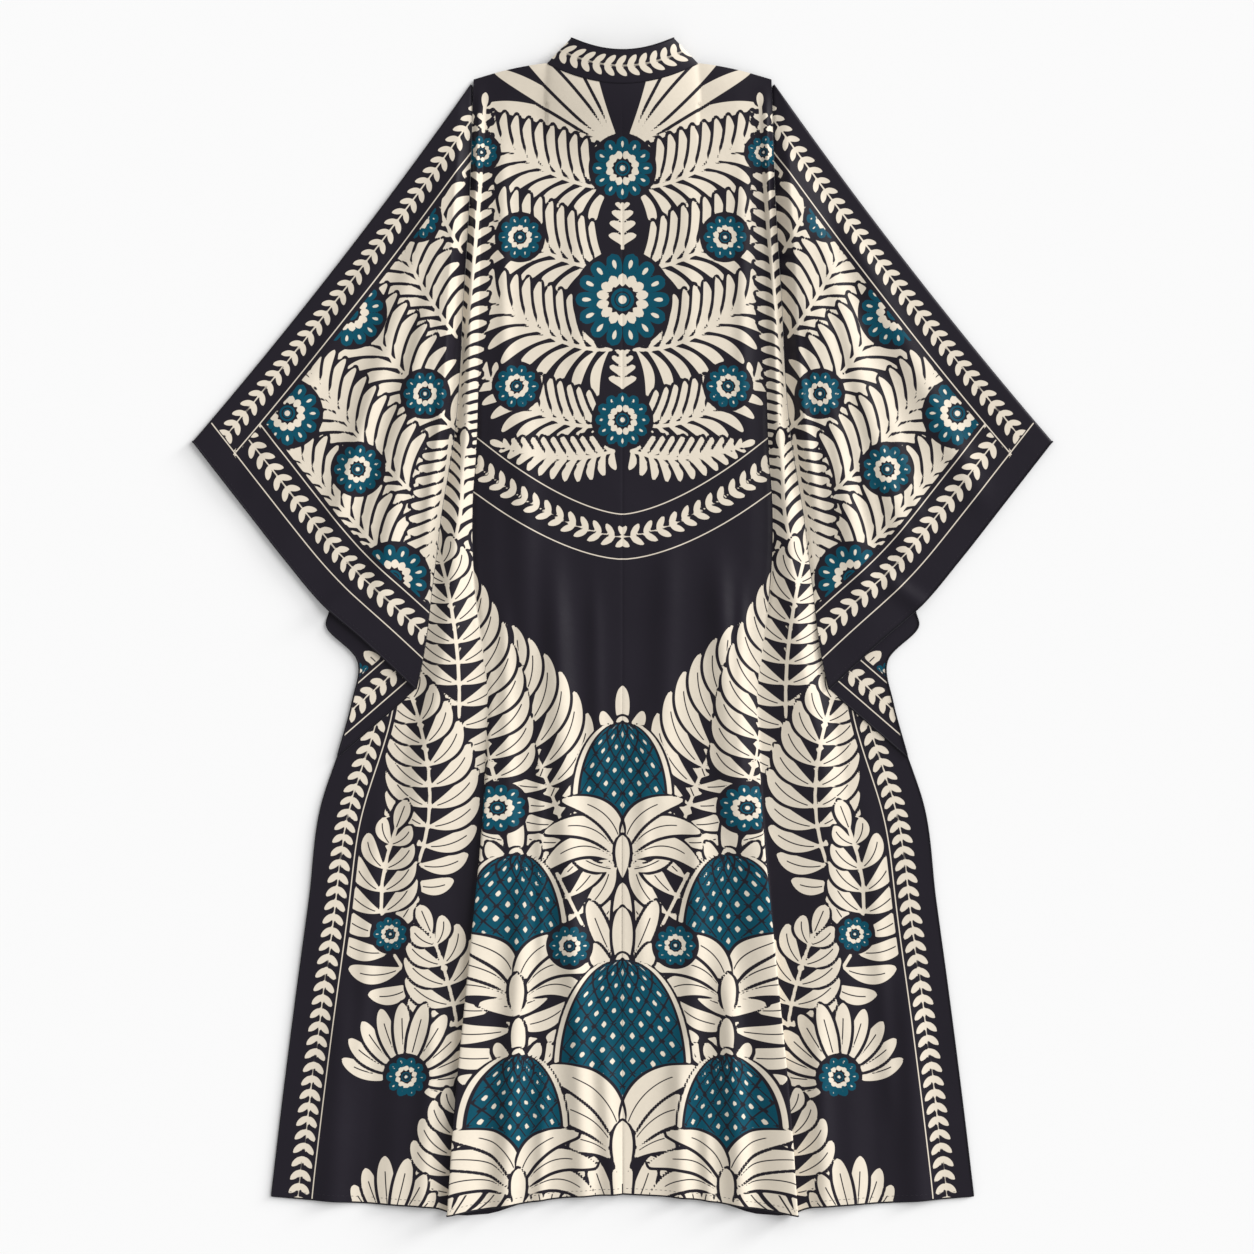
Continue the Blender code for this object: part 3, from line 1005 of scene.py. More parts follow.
def written(name: str, bm: bmesh.types.BMesh) -> bpy.types.Mesh:
    """Write a mesh that was built in memory and free it.

    Args:
        name: The new mesh's name.
        bm: The mesh in memory.

    Returns:
        The new mesh.
    """
    mesh = bpy.data.meshes.new(name)
    bm.to_mesh(mesh)
    bm.free()
    return mesh


def grid_shares(bm: bmesh.types.BMesh, columns: int, rows: int) -> list[bmesh.types.BMVert]:
    """Add a flat grid whose corners lie at 0 and 1.

    Args:
        bm: The mesh to add to.
        columns: Faces across.
        rows: Faces down.

    Returns:
        The new vertices.
    """
    made = bmesh.ops.create_grid(bm, x_segments=columns, y_segments=rows, size=0.5)
    bmesh.ops.translate(bm, verts=made["verts"], vec=(0.5, 0.5, 0))
    return made["verts"]


@dataclass
class Patch:
    """One grid of cloth: its places and where each one lies on the printed page."""

    columns: int
    rows: int
    places: Array
    page: Page
    page_x: Array
    page_y: Array


def sew(name: str, patches: list[Patch], flip: bool, material: bpy.types.Material) -> bpy.types.Object:
    """Turn patches of cloth into one piece that carries its print.

    Args:
        name: The piece's name.
        patches: Its patches, which share edges point by point.
        flip: Whether the faces are turned over.
        material: Its material.

    Returns:
        The new piece.
    """
    bm = bmesh.new()
    for patch in patches:
        grid_shares(bm, patch.columns, patch.rows)
    if flip:
        bmesh.ops.reverse_faces(bm, faces=bm.faces)
    mesh = written(name, bm)
    shares = np.empty(len(mesh.vertices) * 3)
    mesh.vertices.foreach_get("co", shares)
    shares = shares.reshape(-1, 3)
    places = np.empty_like(shares)
    values = {ink: np.empty(len(shares)) for ink in Ink}
    start = 0
    for patch in patches:
        end = start + (patch.columns + 1) * (patch.rows + 1)
        column = np.rint(shares[start:end, 0] * patch.columns).astype(int)
        row = np.rint(shares[start:end, 1] * patch.rows).astype(int)
        places[start:end] = patch.places[row, column]
        for ink in Ink:
            x, y = patch.page_x[row, column], patch.page_y[row, column]
            values[ink][start:end] = patch.page.read(ink, x, y)
        start = end
    mesh.vertices.foreach_set("co", (places * MM).ravel())
    for ink in Ink:
        mesh.attributes.new(ink.value, "FLOAT", "POINT").data.foreach_set("value", values[ink])
    if len(patches) > 1:
        bm = bmesh.new()
        bm.from_mesh(mesh)
        edge = [v for v in bm.verts if v.is_boundary]
        bmesh.ops.remove_doubles(bm, verts=edge, dist=0.02 * MM)
        bm.to_mesh(mesh)
        bm.free()
    mesh.shade_smooth()
    mesh.materials.append(material)
    return placed(name, mesh)


@dataclass
class BodyPrint:
    """Print of the two halves of the back."""

    side_margin: tuple[float, float] = (33.0, 50.0)
    band_gap: float = 28.0
    band_end: float = 184.0
    skirt_top: float = -60.0

    def band_middle(self, x: Array) -> Array:
        """Return the y of the waist band's middle line, a shallow swag."""
        return 112 + 88 * (np.abs(x) / 182) ** 1.6

    def build(self) -> Page:
        """Print the page.

        Returns:
            The finished page.
        """
        page = Page((-4, -760), (540, 730))
        for item in self.upper() + self.lower() + self.sides():
            item.draw(page)
        run = np.linspace(-6, 240, 26)
        band = Route(page, np.stack([run, self.band_middle(run)], axis=-1))
        x, y = page.grid(WHOLE)
        inside = self.band_gap + 10 - np.abs(y - self.band_middle(x))
        panel = (x < self.band_end) & (y > 60)
        page.clear(WHOLE, np.where(panel, inside, -FAR))
        keep = np.minimum(self.band_end - x, FAR)
        band.chain(0, 17.0, 19.0, 3.9, keep)
        band.line(self.band_gap, keep)
        band.line(-self.band_gap, keep)
        edge = Route(page, softened(self.side_points()))
        inner = self.side_margin[1] + 5
        below = np.minimum(self.skirt_top - y, FAR)
        page.clear(WHOLE, np.where(y < self.skirt_top, inner + edge.signed, -FAR))
        edge.chain(-self.side_margin[0], 17.0, 18.0, 4.0, below)
        edge.line(-self.side_margin[1], below)
        return page

    def side_points(self) -> Array:
        """Return the skirt's side edge on the page, from the underarm down to the hem."""
        y = np.linspace(-40, -750, 22)
        return np.stack([LINES.side.at(y) + PRINT_JUMP, y], axis=-1)

    def upper(self) -> list[Motif]:
        """List the motifs above the waist band.

        Returns:
            The motifs, in the order that they are printed in.
        """
        return [
            Spray((0, 588), 20, 74, 5, 205, 10.5, curl=-0.07, shorten=0.1, vein=False),
            Frond((10, 546), (84, 546), (178, 626), 68, 17, 6.6, taper=0.24),
            Frond((10, 446), (84, 440), (180, 532), 76, 17.5, 6.8, taper=0.24),
            Frond((10, 346), (84, 336), (180, 428), 74, 17.5, 6.8, taper=0.24),
            Frond((10, 254), (80, 232), (176, 318), 60, 16.5, 6.4, taper=0.24),
            Frond((6, 222), (60, 196), (150, 226), 34, 14, 5.4),
            Frond((0, 290), (0, 320), (0, 346), 22, 14, 5.0, (52, 40), taper=0.4),
            Frond((0, 468), (0, 500), (0, 530), 22, 14, 5.0, (52, 40), taper=0.4),
            Frond((234, 214), (188, 300), (172, 650), 34, 18, 5.4, (56, 46), taper=0.4),
            Rosette((0, 408), 58, 14),
            Rosette((0, 572), 38, 12),
            Rosette((0, 258), 34, 12),
            Rosette((128, 486), 27, 10),
            Rosette((132, 300), 27, 10),
            Rosette((176, 592), 20, 9),
            Frond((278, -30), (278, 140), (232, 222), 54, 21, 6.4, (62, 46), taper=0.4),
        ]

    def lower(self) -> list[Motif]:
        """List the motifs below the plain zone.

        Returns:
            The motifs, in the order that they are printed in.
        """
        big = {"spread": (62.0, 26.0), "curl": 0.13, "vein": True}
        return [
            Frond((30, -600), (190, -500), (178, -350), 100, 31, 13.5, **big),
            Frond((26, -480), (150, -430), (196, -250), 96, 31, 13.0, **big),
            Frond((40, -392), (112, -250), (192, -70), 100, 28, 13.0, **big),
            Frond((60, -300), (92, -170), (184, -6), 104, 26, 12.5, **big),
            Frond((150, -200), (190, -70), (232, 84), 84, 26, 12.5, **big),
            Spray((0, -306), 26, 154, 7, 116, 11.5),
            Spray((0, -440), 20, 160, 7, 120, 12.0, curl=0.06),
            Spray((96, -748), 20, 160, 8, 132, 13.0),
            Spray((204, -752), 30, 150, 7, 120, 12.5),
            Spray((0, -756), 24, 156, 7, 116, 12.5),
            Cone((0, -296), 176, 104, 6, 5),
            Cone((132, -470), 186, 106, 6, 5),
            Cone((0, -668), 252, 150, 8, 6),
            Cone((130, -712), 178, 104, 6, 5),
            Rosette((66, -398), 25, 10),
            Rosette((150, -226), 29, 11),
        ]

    def sides(self) -> list[Motif]:
        """List the motifs on the sides of the skirt and on the roll above them.

        Returns:
            The motifs, in the order that they are printed in.
        """
        big = {"spread": (64.0, 30.0), "curl": 0.13, "vein": True}
        return [
            Frond((270, -190), (250, -40), (290, 96), 76, 26, 12.0, **big),
            Frond((330, -330), (270, -220), (330, -70), 74, 27, 12.0, **big),
            Frond((286, -470), (400, -400), (342, -250), 70, 27, 12.0, **big),
            Frond((262, -560), (262, -470), (300, -380), 70, 27, 12.0, **big),
            Spray((330, -560), 14, 196, 11, 92, 10.5, shorten=0.1),
            Frond((258, -760), (286, -690), (262, -590), 66, 26, 11.5, **big),
            Spray((350, -752), 30, 160, 8, 96, 11.0),
            Rosette((330, -562), 25, 10),
            Rosette((350, -384), 21, 9),
        ]


@dataclass
class SleevePrint:
    """Print of a sleeve's back layer, bordered along the fold and the cuff."""

    fold_margin: tuple[float, float] = (27.0, 50.0)
    cuff_margin: tuple[float, float, float] = (33.0, 57.0, 80.0)

    def build(self) -> Page:
        """Print the page.

        Returns:
            The finished page.
        """
        page = Page((150, -200), (570, 720))
        for item in self.motifs():
            item.draw(page)
        tip, end = np.array(LINES.shoulder_tip), np.array(LINES.sleeve_tip)
        t = np.linspace(-0.1, 1.05, 24)[:, None]
        way = (end - tip) / np.hypot(*(end - tip))
        outward = np.array([-way[1], way[0]])
        fold = Route(page, softened(tip + (end - tip) * t - outward * 28.0 * t * (1 - t)))
        share = np.linspace(0, 1, 24)
        cuff = np.stack([LINES.back_cuff.at(share, 1), LINES.back_cuff.at(share, 2)], axis=-1)
        ends = cuff[0] - (cuff[1] - cuff[0]), cuff[-1] + (cuff[-1] - cuff[-2]) * 3
        hem = Route(page, softened(np.vstack([ends[0], cuff, ends[1]])))
        from_fold, from_cuff = -fold.signed, -hem.signed
        inner = np.maximum(self.fold_margin[1] + 6 - from_fold, self.cuff_margin[2] + 6 - from_cuff)
        page.clear(WHOLE, inner)
        on_fold = np.minimum(from_cuff - self.cuff_margin[0] - 2, FAR)
        fold.chain(-self.fold_margin[0], 16.0, 16.5, 3.6, on_fold)
        fold.line(-self.fold_margin[1], np.minimum(from_cuff - self.cuff_margin[0], FAR))
        on_cuff = np.minimum(from_fold - self.fold_margin[1] - 2, FAR)
        hem.chain(-self.cuff_margin[1], 17.0, 18.0, 3.9, on_cuff)
        hem.line(-self.cuff_margin[0], np.minimum(from_fold - 6, FAR))
        hem.line(-self.cuff_margin[2], np.minimum(from_fold - self.fold_margin[1], FAR))
        return page

    def motifs(self) -> list[Motif]:
        """List the motifs inside the borders.

        Returns:
            The motifs, in the order that they are printed in.
        """
        return [
            Frond((196, 560), (214, 610), (250, 660), 40, 15, 5.8),
            Frond((200, 466), (238, 530), (262, 606), 52, 16, 6.4),
            Frond((206, 360), (260, 426), (310, 548), 64, 17, 6.6, taper=0.24),
            Frond((206, 244), (300, 330), (374, 470), 72, 17.5, 6.8, taper=0.24),
            Frond((216, 130), (330, 214), (440, 388), 74, 17.5, 6.8, taper=0.24),
            Frond((230, 20), (330, 116), (474, 296), 70, 17.5, 6.8, taper=0.24),
            Frond((250, -60), (330, 30), (430, 168), 60, 17, 6.6),
            Frond((214, 240), (224, 140), (262, -10), 44, 16, 6.4),
            Rosette((254, 508), 25, 10),
            Rosette((340, 392), 42, 13),
            Rosette((246, 290), 27, 10),
            Rosette((418, 266), 40, 12),
            Rosette((330, 196), 30, 11),
            Rosette((286, 60), 42, 13),
        ]


@dataclass
class CornerPrint:
    """Print of the corner of a sleeve's front layer, which shows below the back layer."""

    margins: tuple[float, float, float] = (15.0, 33.0, 53.0)

    def build(self) -> Page:
        """Print the page.

        Returns:
            The finished page.
        """
        page = Page((220, -200), (420, 60))
        Spray((286, -70), 0, 70, 4, 60, 9.0).draw(page)
        Rosette((330, -62), 17, 8).draw(page)
        edge = Route(page, np.array([(200.0, -27.7), (420.0, -218.5)]))
        page.clear(WHOLE, self.margins[2] + 5 - edge.signed)
        edge.chain(self.margins[1], 17.0, 17.0, 4.2)
        edge.line(self.margins[0])
        edge.line(self.margins[2])
        return page


@dataclass
class CollarPrint:
    """Print of the collar: one leaf chain along the middle of the band."""

    length: float = 420.0
    width: float = 41.0

    def build(self) -> Page:
        """Print the page, whose x runs round the collar and y up its stand.

        Returns:
            The finished page.
        """
        end, middle_y = self.length / 2, 21.5
        page = Page((-end - 4, -4), (end + 4, self.width + 4))
        middle = Route(page, np.array([(-end, middle_y), (0.0, middle_y), (end, middle_y)]))
        middle.chain(0, 14.5, 17.5, 3.8)
        return page


@dataclass
class BackHalf:
    """One half of the back, with the side of the skirt below the underarm."""

    side: Side
    rest: float = 3.4
    loft: float = 3.0
    lean: float = 1.05
    fullness: float = 1.3
    upper_rows: int = 306
    lower_rows: int = 262
    flank_columns: int = 42
    roll: Table = Table(
        (
            (683, 1.5), (600, 6), (450, 9), (229, 10), (114, 11), (-40, 13), (-127, 12), (-217, 9),
            (-350, 5.5), (-500, 4), (-735, 6),
        )
    )
    pleat: Table = Table(
        (
            (683, 0), (400, 0), (60, 0), (-60, 1.5), (-150, 5), (-280, 9), (-420, 12), (-560, 14),
            (-735, 16),
        )
    )
    panel_shares: tuple[float, ...] = (0.0, 0.02, 0.76, 1.0, 2.0, 3.0)
    panel_counts: tuple[int, ...] = (3, 52, 26, 26, 22)
    edges: tuple[Array, Array] = field(init=False)

    def folds(self) -> tuple[Fold, ...]:
        """List the soft folds of this half: the large ones of the solid, then finer ones.

        Returns:
            The folds.
        """
        if self.side is Side.LEFT:
            return fold_list(
                (
                    (90, 150, 62, -430, 17, 6.5), (62, -330, 48, -733, 15, 7.0),
                    (120, -260, 150, -760, 15, 7.5), (28, -480, 8, -760, 12, 5.0),
                    (128, 330, 118, -60, 18, 3.5), (232, -430, 250, -760, 14, 5.0),
                    (345, -420, 366, -760, 18, 4.0), (148, 60, 136, -300, 8, 2.6),
                    (104, -90, 100, -420, 7, 2.4), (36, 90, 30, -220, 10, 2.0),
                    (96, -520, 104, -760, 8, 3.0), (150, 620, 146, 300, 9, 2.0),
                    (300, -180, 330, -560, 11, 2.2), (60, 600, 52, 300, 14, 1.4),
                )
            )
        return fold_list(
            (
                (118, 120, 138, -260, 16, 6.0), (96, -180, 84, -560, 15, 5.0),
                (128, -380, 150, -760, 15, 8.0), (70, -500, 74, -760, 13, 6.0),
                (60, 160, 46, -240, 18, 3.5), (240, -420, 254, -760, 14, 5.0),
                (352, -400, 372, -760, 18, 4.0), (150, 80, 144, -200, 8, 2.6),
                (30, -60, 24, -420, 10, 2.2), (104, -600, 110, -760, 8, 3.2),
                (150, 600, 150, 280, 9, 2.2), (304, -200, 336, -600, 11, 2.2),
                (80, 610, 84, 330, 13, 1.5),
            )
        )

    def pleat_at(self, x: Array, y: Array) -> Array:
        """Measure the pleat, which has a long slope to its crest and a steep outer side.

        Args:
            x: Distances from the centre seam.
            y: Places up the page.

        Returns:
            The pleat's height there.
        """
        edge = LINES.guides.at(y, 1)
        rise = smooth((x - edge + 46) / 37)
        fall = smooth((edge + 5 - x) / 14)
        return self.pleat.at(y) * np.where(x < edge - 9, rise, fall)

    def height(self, x: Array, y: Array) -> Array:
        """Return the height of the cloth's outer face.

        Args:
            x: Distances from the centre seam.
            y: Places up the page.

        Returns:
            Heights over the surface that the robe lies on.
        """
        edge, crest, seam = (LINES.guides.at(y, c) for c in (1, 2, 3))
        roll = np.where(x < crest, smooth((x - edge) / (crest - edge)), smooth((seam - x) / (seam - crest)))
        z = self.rest + self.loft * smooth((edge - x) / 30) + self.roll.at(y) * roll + self.pleat_at(x, y)
        for fold in self.folds():
            z = z + self.fullness * fold.at(x, y)
        crease = smooth((330 - y) / 90) * smooth((y + 40) / 80)
        z = z - 2.2 * crease * np.exp(-(((x - edge) / 3.0) ** 2))
        z = z - 1.6 * smooth((y - 40) / 60) * np.exp(-(((seam - x) / 3.5) ** 2))
        phase = 0.7 if self.side is Side.LEFT else 2.1
        ripple = np.sin(x / 23 + phase + 0.6 * np.sin(y / 90 + phase)) * np.sin(y / 310 + phase)
        z = z + 0.55 * ripple - 0.35 * np.exp(-((x / 1.6) ** 2))
        at_top = LINES.top_height(x, 1)
        top = LINES.top(LINES.back_neck, x)
        near = 1 - smooth((top - y) / np.where(x < LINES.neck_side[0], 120, 70))
        return z * (1 - near) + at_top * near

    def columns(self) -> Array:
        """List the columns' shares: to 1 the centre panel, to 2 and 3 the sides of the roll.

        Returns:
            One share for each column.
        """
        runs = zip(self.panel_shares, self.panel_shares[1:], self.panel_counts)
        made = [np.linspace(a, b, n + 1)[:-1] for a, b, n in runs]
        return np.concatenate([*made, [self.panel_shares[-1]]])

    def place(self, shares: Array, y: Array) -> Array:
        """Find the x of some columns.

        Args:
            shares: The columns' shares.
            y: Places up the page.

        Returns:
            The columns' x there.
        """
        edge, crest, seam = (LINES.guides.at(y, c) for c in (1, 2, 3))
        inner = edge + (crest - edge) * (shares - 1)
        outer = crest + (seam - crest) * (shares - 2)
        return np.where(shares <= 1, edge * shares, np.where(shares <= 2, inner, outer))

    def flank(self, shares: Array, y: Array) -> Array:
        """Return the x of some shares of the way from the crease to the side edge."""
        seam = LINES.guides.at(y, 3)
        return seam + (LINES.side.at(y) - seam) * shares

    def lay(self, rule: Rule, shares: Array, levels: Array) -> tuple[Array, Array]:
        """Settle a grid of cloth on its guide lines.

        Args:
            rule: Gives x from shares and y.
            shares: One share for each column.
            levels: One level for each row.

        Returns:
            The grid's x and y.
        """
        shares, level = np.meshgrid(shares, levels)
        y = level
        for _ in range(4):
            x = rule(shares, y)
            y = LINES.level(LINES.back_neck, x, level)
        return rule(shares, y), y

    def build(self, page: Page, material: bpy.types.Material) -> bpy.types.Object:
        """Model the half.

        Args:
            page: The print.
            material: The silk.

        Returns:
            The finished piece.
        """
        upper = np.linspace(LINES.shoulder_tip[1], LINES.underarm_y, self.upper_rows + 1)
        lower = np.linspace(LINES.underarm_y, LINES.hem_y, self.lower_rows + 1)
        shares = self.columns()
        body = self.patch(page, self.place, shares, np.concatenate([upper, lower[1:]]), shares > 1)
        across = np.linspace(0, 1, self.flank_columns + 1)
        flank = self.patch(page, self.flank, across, lower, across > -1)
        self.edges = body.places, flank.places
        return sew(f"back_cloth_{self.side.word}", [body, flank], self.side is Side.RIGHT, material)

    def patch(self, page: Page, rule: Rule, shares: Array, levels: Array, jumps: Array) -> Patch:
        """Lay one grid of this half and find where it lies on the page.

        Args:
            page: The print.
            rule: Gives x from shares and y.
            shares: One share for each column.
            levels: One level for each row.
            jumps: Which columns lie beyond the crease and read the page further out.

        Returns:
            The patch.
        """
        x, y = self.lay(rule, shares, levels)
        lean = x + self.lean * self.pleat_at(x, y)
        z = self.height(x, y)
        shift = np.where(jumps, PRINT_JUMP * smooth((330 - y) / 200), 0.0)
        places = np.stack([self.side.value * lean, y, z], axis=-1)
        return Patch(len(shares) - 1, len(levels) - 1, places, page, x + shift, y)


@dataclass
class FrontHalf:
    """One front, plain and flat on the surface, lifted only at the collar and the shoulder."""

    side: Side
    rest: float = 1.05
    peep: float = 8.0
    rows: int = 120
    columns: int = 34

    def build(self, page: Page, material: bpy.types.Material) -> bpy.types.Object:
        """Model the front.

        Args:
            page: The page, which holds no print here.
            material: The silk.

        Returns:
            The finished piece.
        """
        levels = np.linspace(LINES.shoulder_tip[1], LINES.hem_y, self.rows + 1)
        shares, level = np.meshgrid(np.linspace(0, 1, self.columns + 1), levels)
        y = level
        for _ in range(4):
            x = self.place(shares, y)
            y = LINES.level(LINES.front_neck, x, level)
        y = y - self.peep * np.exp(-(((x - 166) / 32) ** 2)) * smooth((-640 - y) / 80)
        near = 1 - smooth((LINES.top(LINES.front_neck, x) - y) / 70)
        z = self.rest + LINES.top_height(x, -1) * near
        places = np.stack([self.side.value * x, y, z], axis=-1)
        patch = Patch(self.columns, self.rows, places, page, x, y)
        made = sew(f"front_cloth_{self.side.word}", [patch], self.side is Side.RIGHT, material)
        wall = made.modifiers.new("wall", "SOLIDIFY")
        wall.thickness = 0.6 * MM
        wall.offset = -1.0
        return made

    def place(self, shares: Array, y: Array) -> Array:
        """Find the x of some columns: to the armhole above the underarm, to the side edge below it.

        Args:
            shares: The columns' shares of the way from the centre.
            y: Places up the page.

        Returns:
            The columns' x there.
        """
        seam = LINES.guides.at(y, 3)
        side = LINES.side.at(y) - 1.5
        full = seam + (side - seam) * smooth((LINES.underarm_y + 6 - y) / 8)
        return LINES.seam_gap / 2 + (full - LINES.seam_gap / 2) * shares


@dataclass
class Sleeve:
    """One sleeve: a cloth folded along the arm, its back layer over its front layer."""

    side: Side
    loft: float = 6.0
    hollow: float = 7.0
    fullness: float = 1.25
    lap: float = 8.6
    corner: float = 4.0
    rows: int = 250
    back_columns: int = 172
    turn_columns: int = 8
    front_columns: int = 92
    edges: tuple[Array, Array, Array] = field(init=False)

    def folds(self) -> tuple[Fold, ...]:
        """List the soft folds that spread from the shoulder.

        Returns:
            The folds.
        """
        if self.side is Side.LEFT:
            return fold_list(
                (
                    (190, 640, 238, 130, 13, 9.0), (196, 640, 300, 60, 17, 8.0),
                    (210, 610, 360, 130, 18, 6.5), (250, 560, 455, 190, 17, 4.0),
                    (214, 470, 262, 150, 8, 3.0), (236, 420, 322, 110, 9, 2.6),
                    (300, 330, 360, 120, 10, 2.0), (318, 60, 384, 10, 12, 2.6),
                )
            )
        return fold_list(
            (
                (190, 640, 236, 150, 13, 9.0), (196, 640, 292, 80, 16, 8.5),
                (210, 615, 350, 110, 18, 7.0), (245, 560, 440, 170, 18, 4.5),
                (216, 480, 258, 160, 8, 3.0), (240, 430, 318, 120, 9, 2.6),
                (310, 340, 372, 130, 10, 2.2), (322, 64, 388, 16, 12, 2.6),
            )
        )

    def directions(self) -> tuple[Array, Array]:
        """Find the directions along the arm and outward across its fold.

        Returns:
            The two unit directions.
        """
        way = np.array(LINES.sleeve_tip) - np.array(LINES.shoulder_tip)
        way = way / np.hypot(*way)
        return way, np.array([-way[1], way[0]])

    def overarm(self, share: Array) -> Array:
        """Follow the centre of the fold along the arm.

        Args:
            share: Shares of the way from the shoulder's tip to the sleeve's tip.

        Returns:
            The fold's places in plan.
        """
        tip, end = np.array(LINES.shoulder_tip), np.array(LINES.sleeve_tip)
        sag = self.hollow * 4 * share * (1 - share) + self.loft / 2
        return tip + (end - tip) * share[..., None] - self.directions()[1] * sag[..., None]

    def armhole(self, share: Array, gap: float) -> Array:
        """Return places along the seam with the body."""
        y = LINES.shoulder_tip[1] + (LINES.underarm_y - LINES.shoulder_tip[1]) * share
        return np.stack([LINES.guides.at(y, 3) + gap, y], axis=-1)

    def front_inner(self, share: Array) -> Array:
        """Follow the front layer's inner edge: the armhole, then the corner over the skirt.

        Args:
            share: Shares of the way down.

        Returns:
            The edge's places in plan.
        """
        late = smooth((share - 0.8) / 0.2)[..., None]
        seam = self.armhole(np.minimum(share / 0.8, 1), 1.0)
        corner = np.array([LINES.front_cuff.rows[-1][1:]], float)
        return seam + (corner - seam) * late

    def plan(self, share: Array, across: Array, cuff: Table, inner: Array) -> Array:
        """Lay out a layer in plan, so that its last row follows its cuff.

        Args:
            share: Shares of the way down the sleeve.
            across: Shares of the way from the fold along the arm to the inner edge.
            cuff: The layer's cuff.
            inner: The inner edge's places.

        Returns:
            The layer's places in plan.
        """
        row = self.overarm(share) + (inner - self.overarm(share)) * across[..., None]
        hem = np.stack([cuff.at(across, 1), cuff.at(across, 2)], axis=-1)
        tip, end = np.array(cuff.rows[0][1:], float), np.array(cuff.rows[-1][1:], float)
        chord = tip + (end - tip) * across[..., None]
        return row + (hem - chord) * smooth((share - 0.55) / 0.45)[..., None]

    def climb(self, y: Array) -> Array:
        """Return the share by which the lower corner lies over the skirt."""
        return smooth((62 - y) / 90)

    def back(self, share: Array, across: Array) -> Array:
        """Shape the back layer.

        Args:
            share: Shares of the way down the sleeve.
            across: Shares of the way from the fold along the arm to the armhole.

        Returns:
            The layer's places.
        """
        inner = self.armhole(share, 0.5)
        flat = self.plan(share, across, LINES.back_cuff, inner)
        x, y = flat[..., 0], flat[..., 1]
        from_seam = np.hypot(*np.moveaxis(flat - inner, -1, 0))
        from_fold = np.hypot(*np.moveaxis(flat - self.overarm(share), -1, 0))
        rise = smooth(from_seam / 26)
        z = np.zeros(x.shape)
        for fold in self.folds():
            z = z + self.fullness * fold.at(x, y)
        phase = 0.4 if self.side is Side.LEFT else 1.9
        z = z + 0.5 * np.sin(x / 17 + y / 60 + phase) * np.sin(y / 140 + phase)
        z = z * smooth(from_fold / 40) * rise
        loft = self.loft * np.minimum(1.0, 0.7 + 4 * share) + (self.lap - self.loft) * self.climb(y)
        valley = 3.4 + (self.lap - 3.4) * self.climb(y)
        groove = 1.6 * (1 - self.climb(y)) * np.exp(-((from_seam / 3.5) ** 2))
        return np.stack([x, y, valley + (loft - valley) * rise + z - groove], axis=-1)

    def turn(self, share: Array, angle: Array) -> Array:
        """Shape the fold along the arm.

        Args:
            share: Shares of the way down the sleeve.
            angle: Angles round the fold.

        Returns:
            The fold's places.
        """
        loft = self.loft * np.minimum(1.0, 0.7 + 4 * share)
        reach = np.cos(angle) * self.loft / 2
        flat = self.overarm(share) + self.directions()[1] * reach[..., None]
        return np.concatenate([flat, (loft / 2 * (1 + np.sin(angle)))[..., None]], axis=-1)

    def front(self, share: Array, across: Array) -> Array:
        """Shape the front layer.

        Args:
            share: Shares of the way down the sleeve.
            across: Shares of the way from the fold along the arm to the inner edge.

        Returns:
            The layer's places.
        """
        flat = self.plan(share, across, LINES.front_cuff, self.front_inner(share))
        z = 0.35 + self.corner * self.climb(flat[..., 1])
        return np.concatenate([flat, z[..., None]], axis=-1)

    def build(self, page: Page, corner: Page, material: bpy.types.Material) -> bpy.types.Object:
        """Model the sleeve.

        Args:
            page: Print of the back layer.
            corner: Print of the front layer's corner.
            material: The silk.

        Returns:
            The finished piece.
        """
        lower = self.rows * 3 // 10
        upper = np.linspace(0.012, 0.8, self.rows - lower + 1)[:-1]
        shares = np.concatenate([upper, np.linspace(0.8, 1, lower + 1)])
        share, across = np.meshgrid(shares, np.linspace(1, 0, self.back_columns + 1), indexing="ij")
        back = self.back(share, across)
        angles = np.radians(np.linspace(90, -90, self.turn_columns + 1)[1:-1])
        share, angle = np.meshgrid(shares, angles, indexing="ij")
        turn = self.turn(share, angle)
        hidden = self.front_columns // 8
        steps = np.linspace(0, 0.6, hidden + 1)[:-1], np.linspace(0.6, 1, self.front_columns - hidden + 1)
        share, across = np.meshgrid(shares, np.concatenate(steps), indexing="ij")
        front = self.front(share, across)
        front[..., 2] = np.where(across < 0.02, 0.0, front[..., 2])
        self.edges = back, turn, front
        outer = self.patch(np.concatenate([back, turn], axis=1), page)
        under = self.patch(np.concatenate([turn[:, -1:], front], axis=1), corner)
        return sew(f"sleeve_cloth_{self.side.word}", [outer, under], self.side is Side.RIGHT, material)

    def patch(self, places: Array, page: Page) -> Patch:
        """Make a patch whose page is read at its own plan.

        Args:
            places: The cloth's places on the half at +X.
            page: Its print.

        Returns:
            The patch.
        """
        x, y = places[..., 0].copy(), places[..., 1].copy()
        mirrored = places * np.array([self.side.value, 1, 1])
        return Patch(places.shape[1] - 1, places.shape[0] - 1, mirrored, page, x, y)


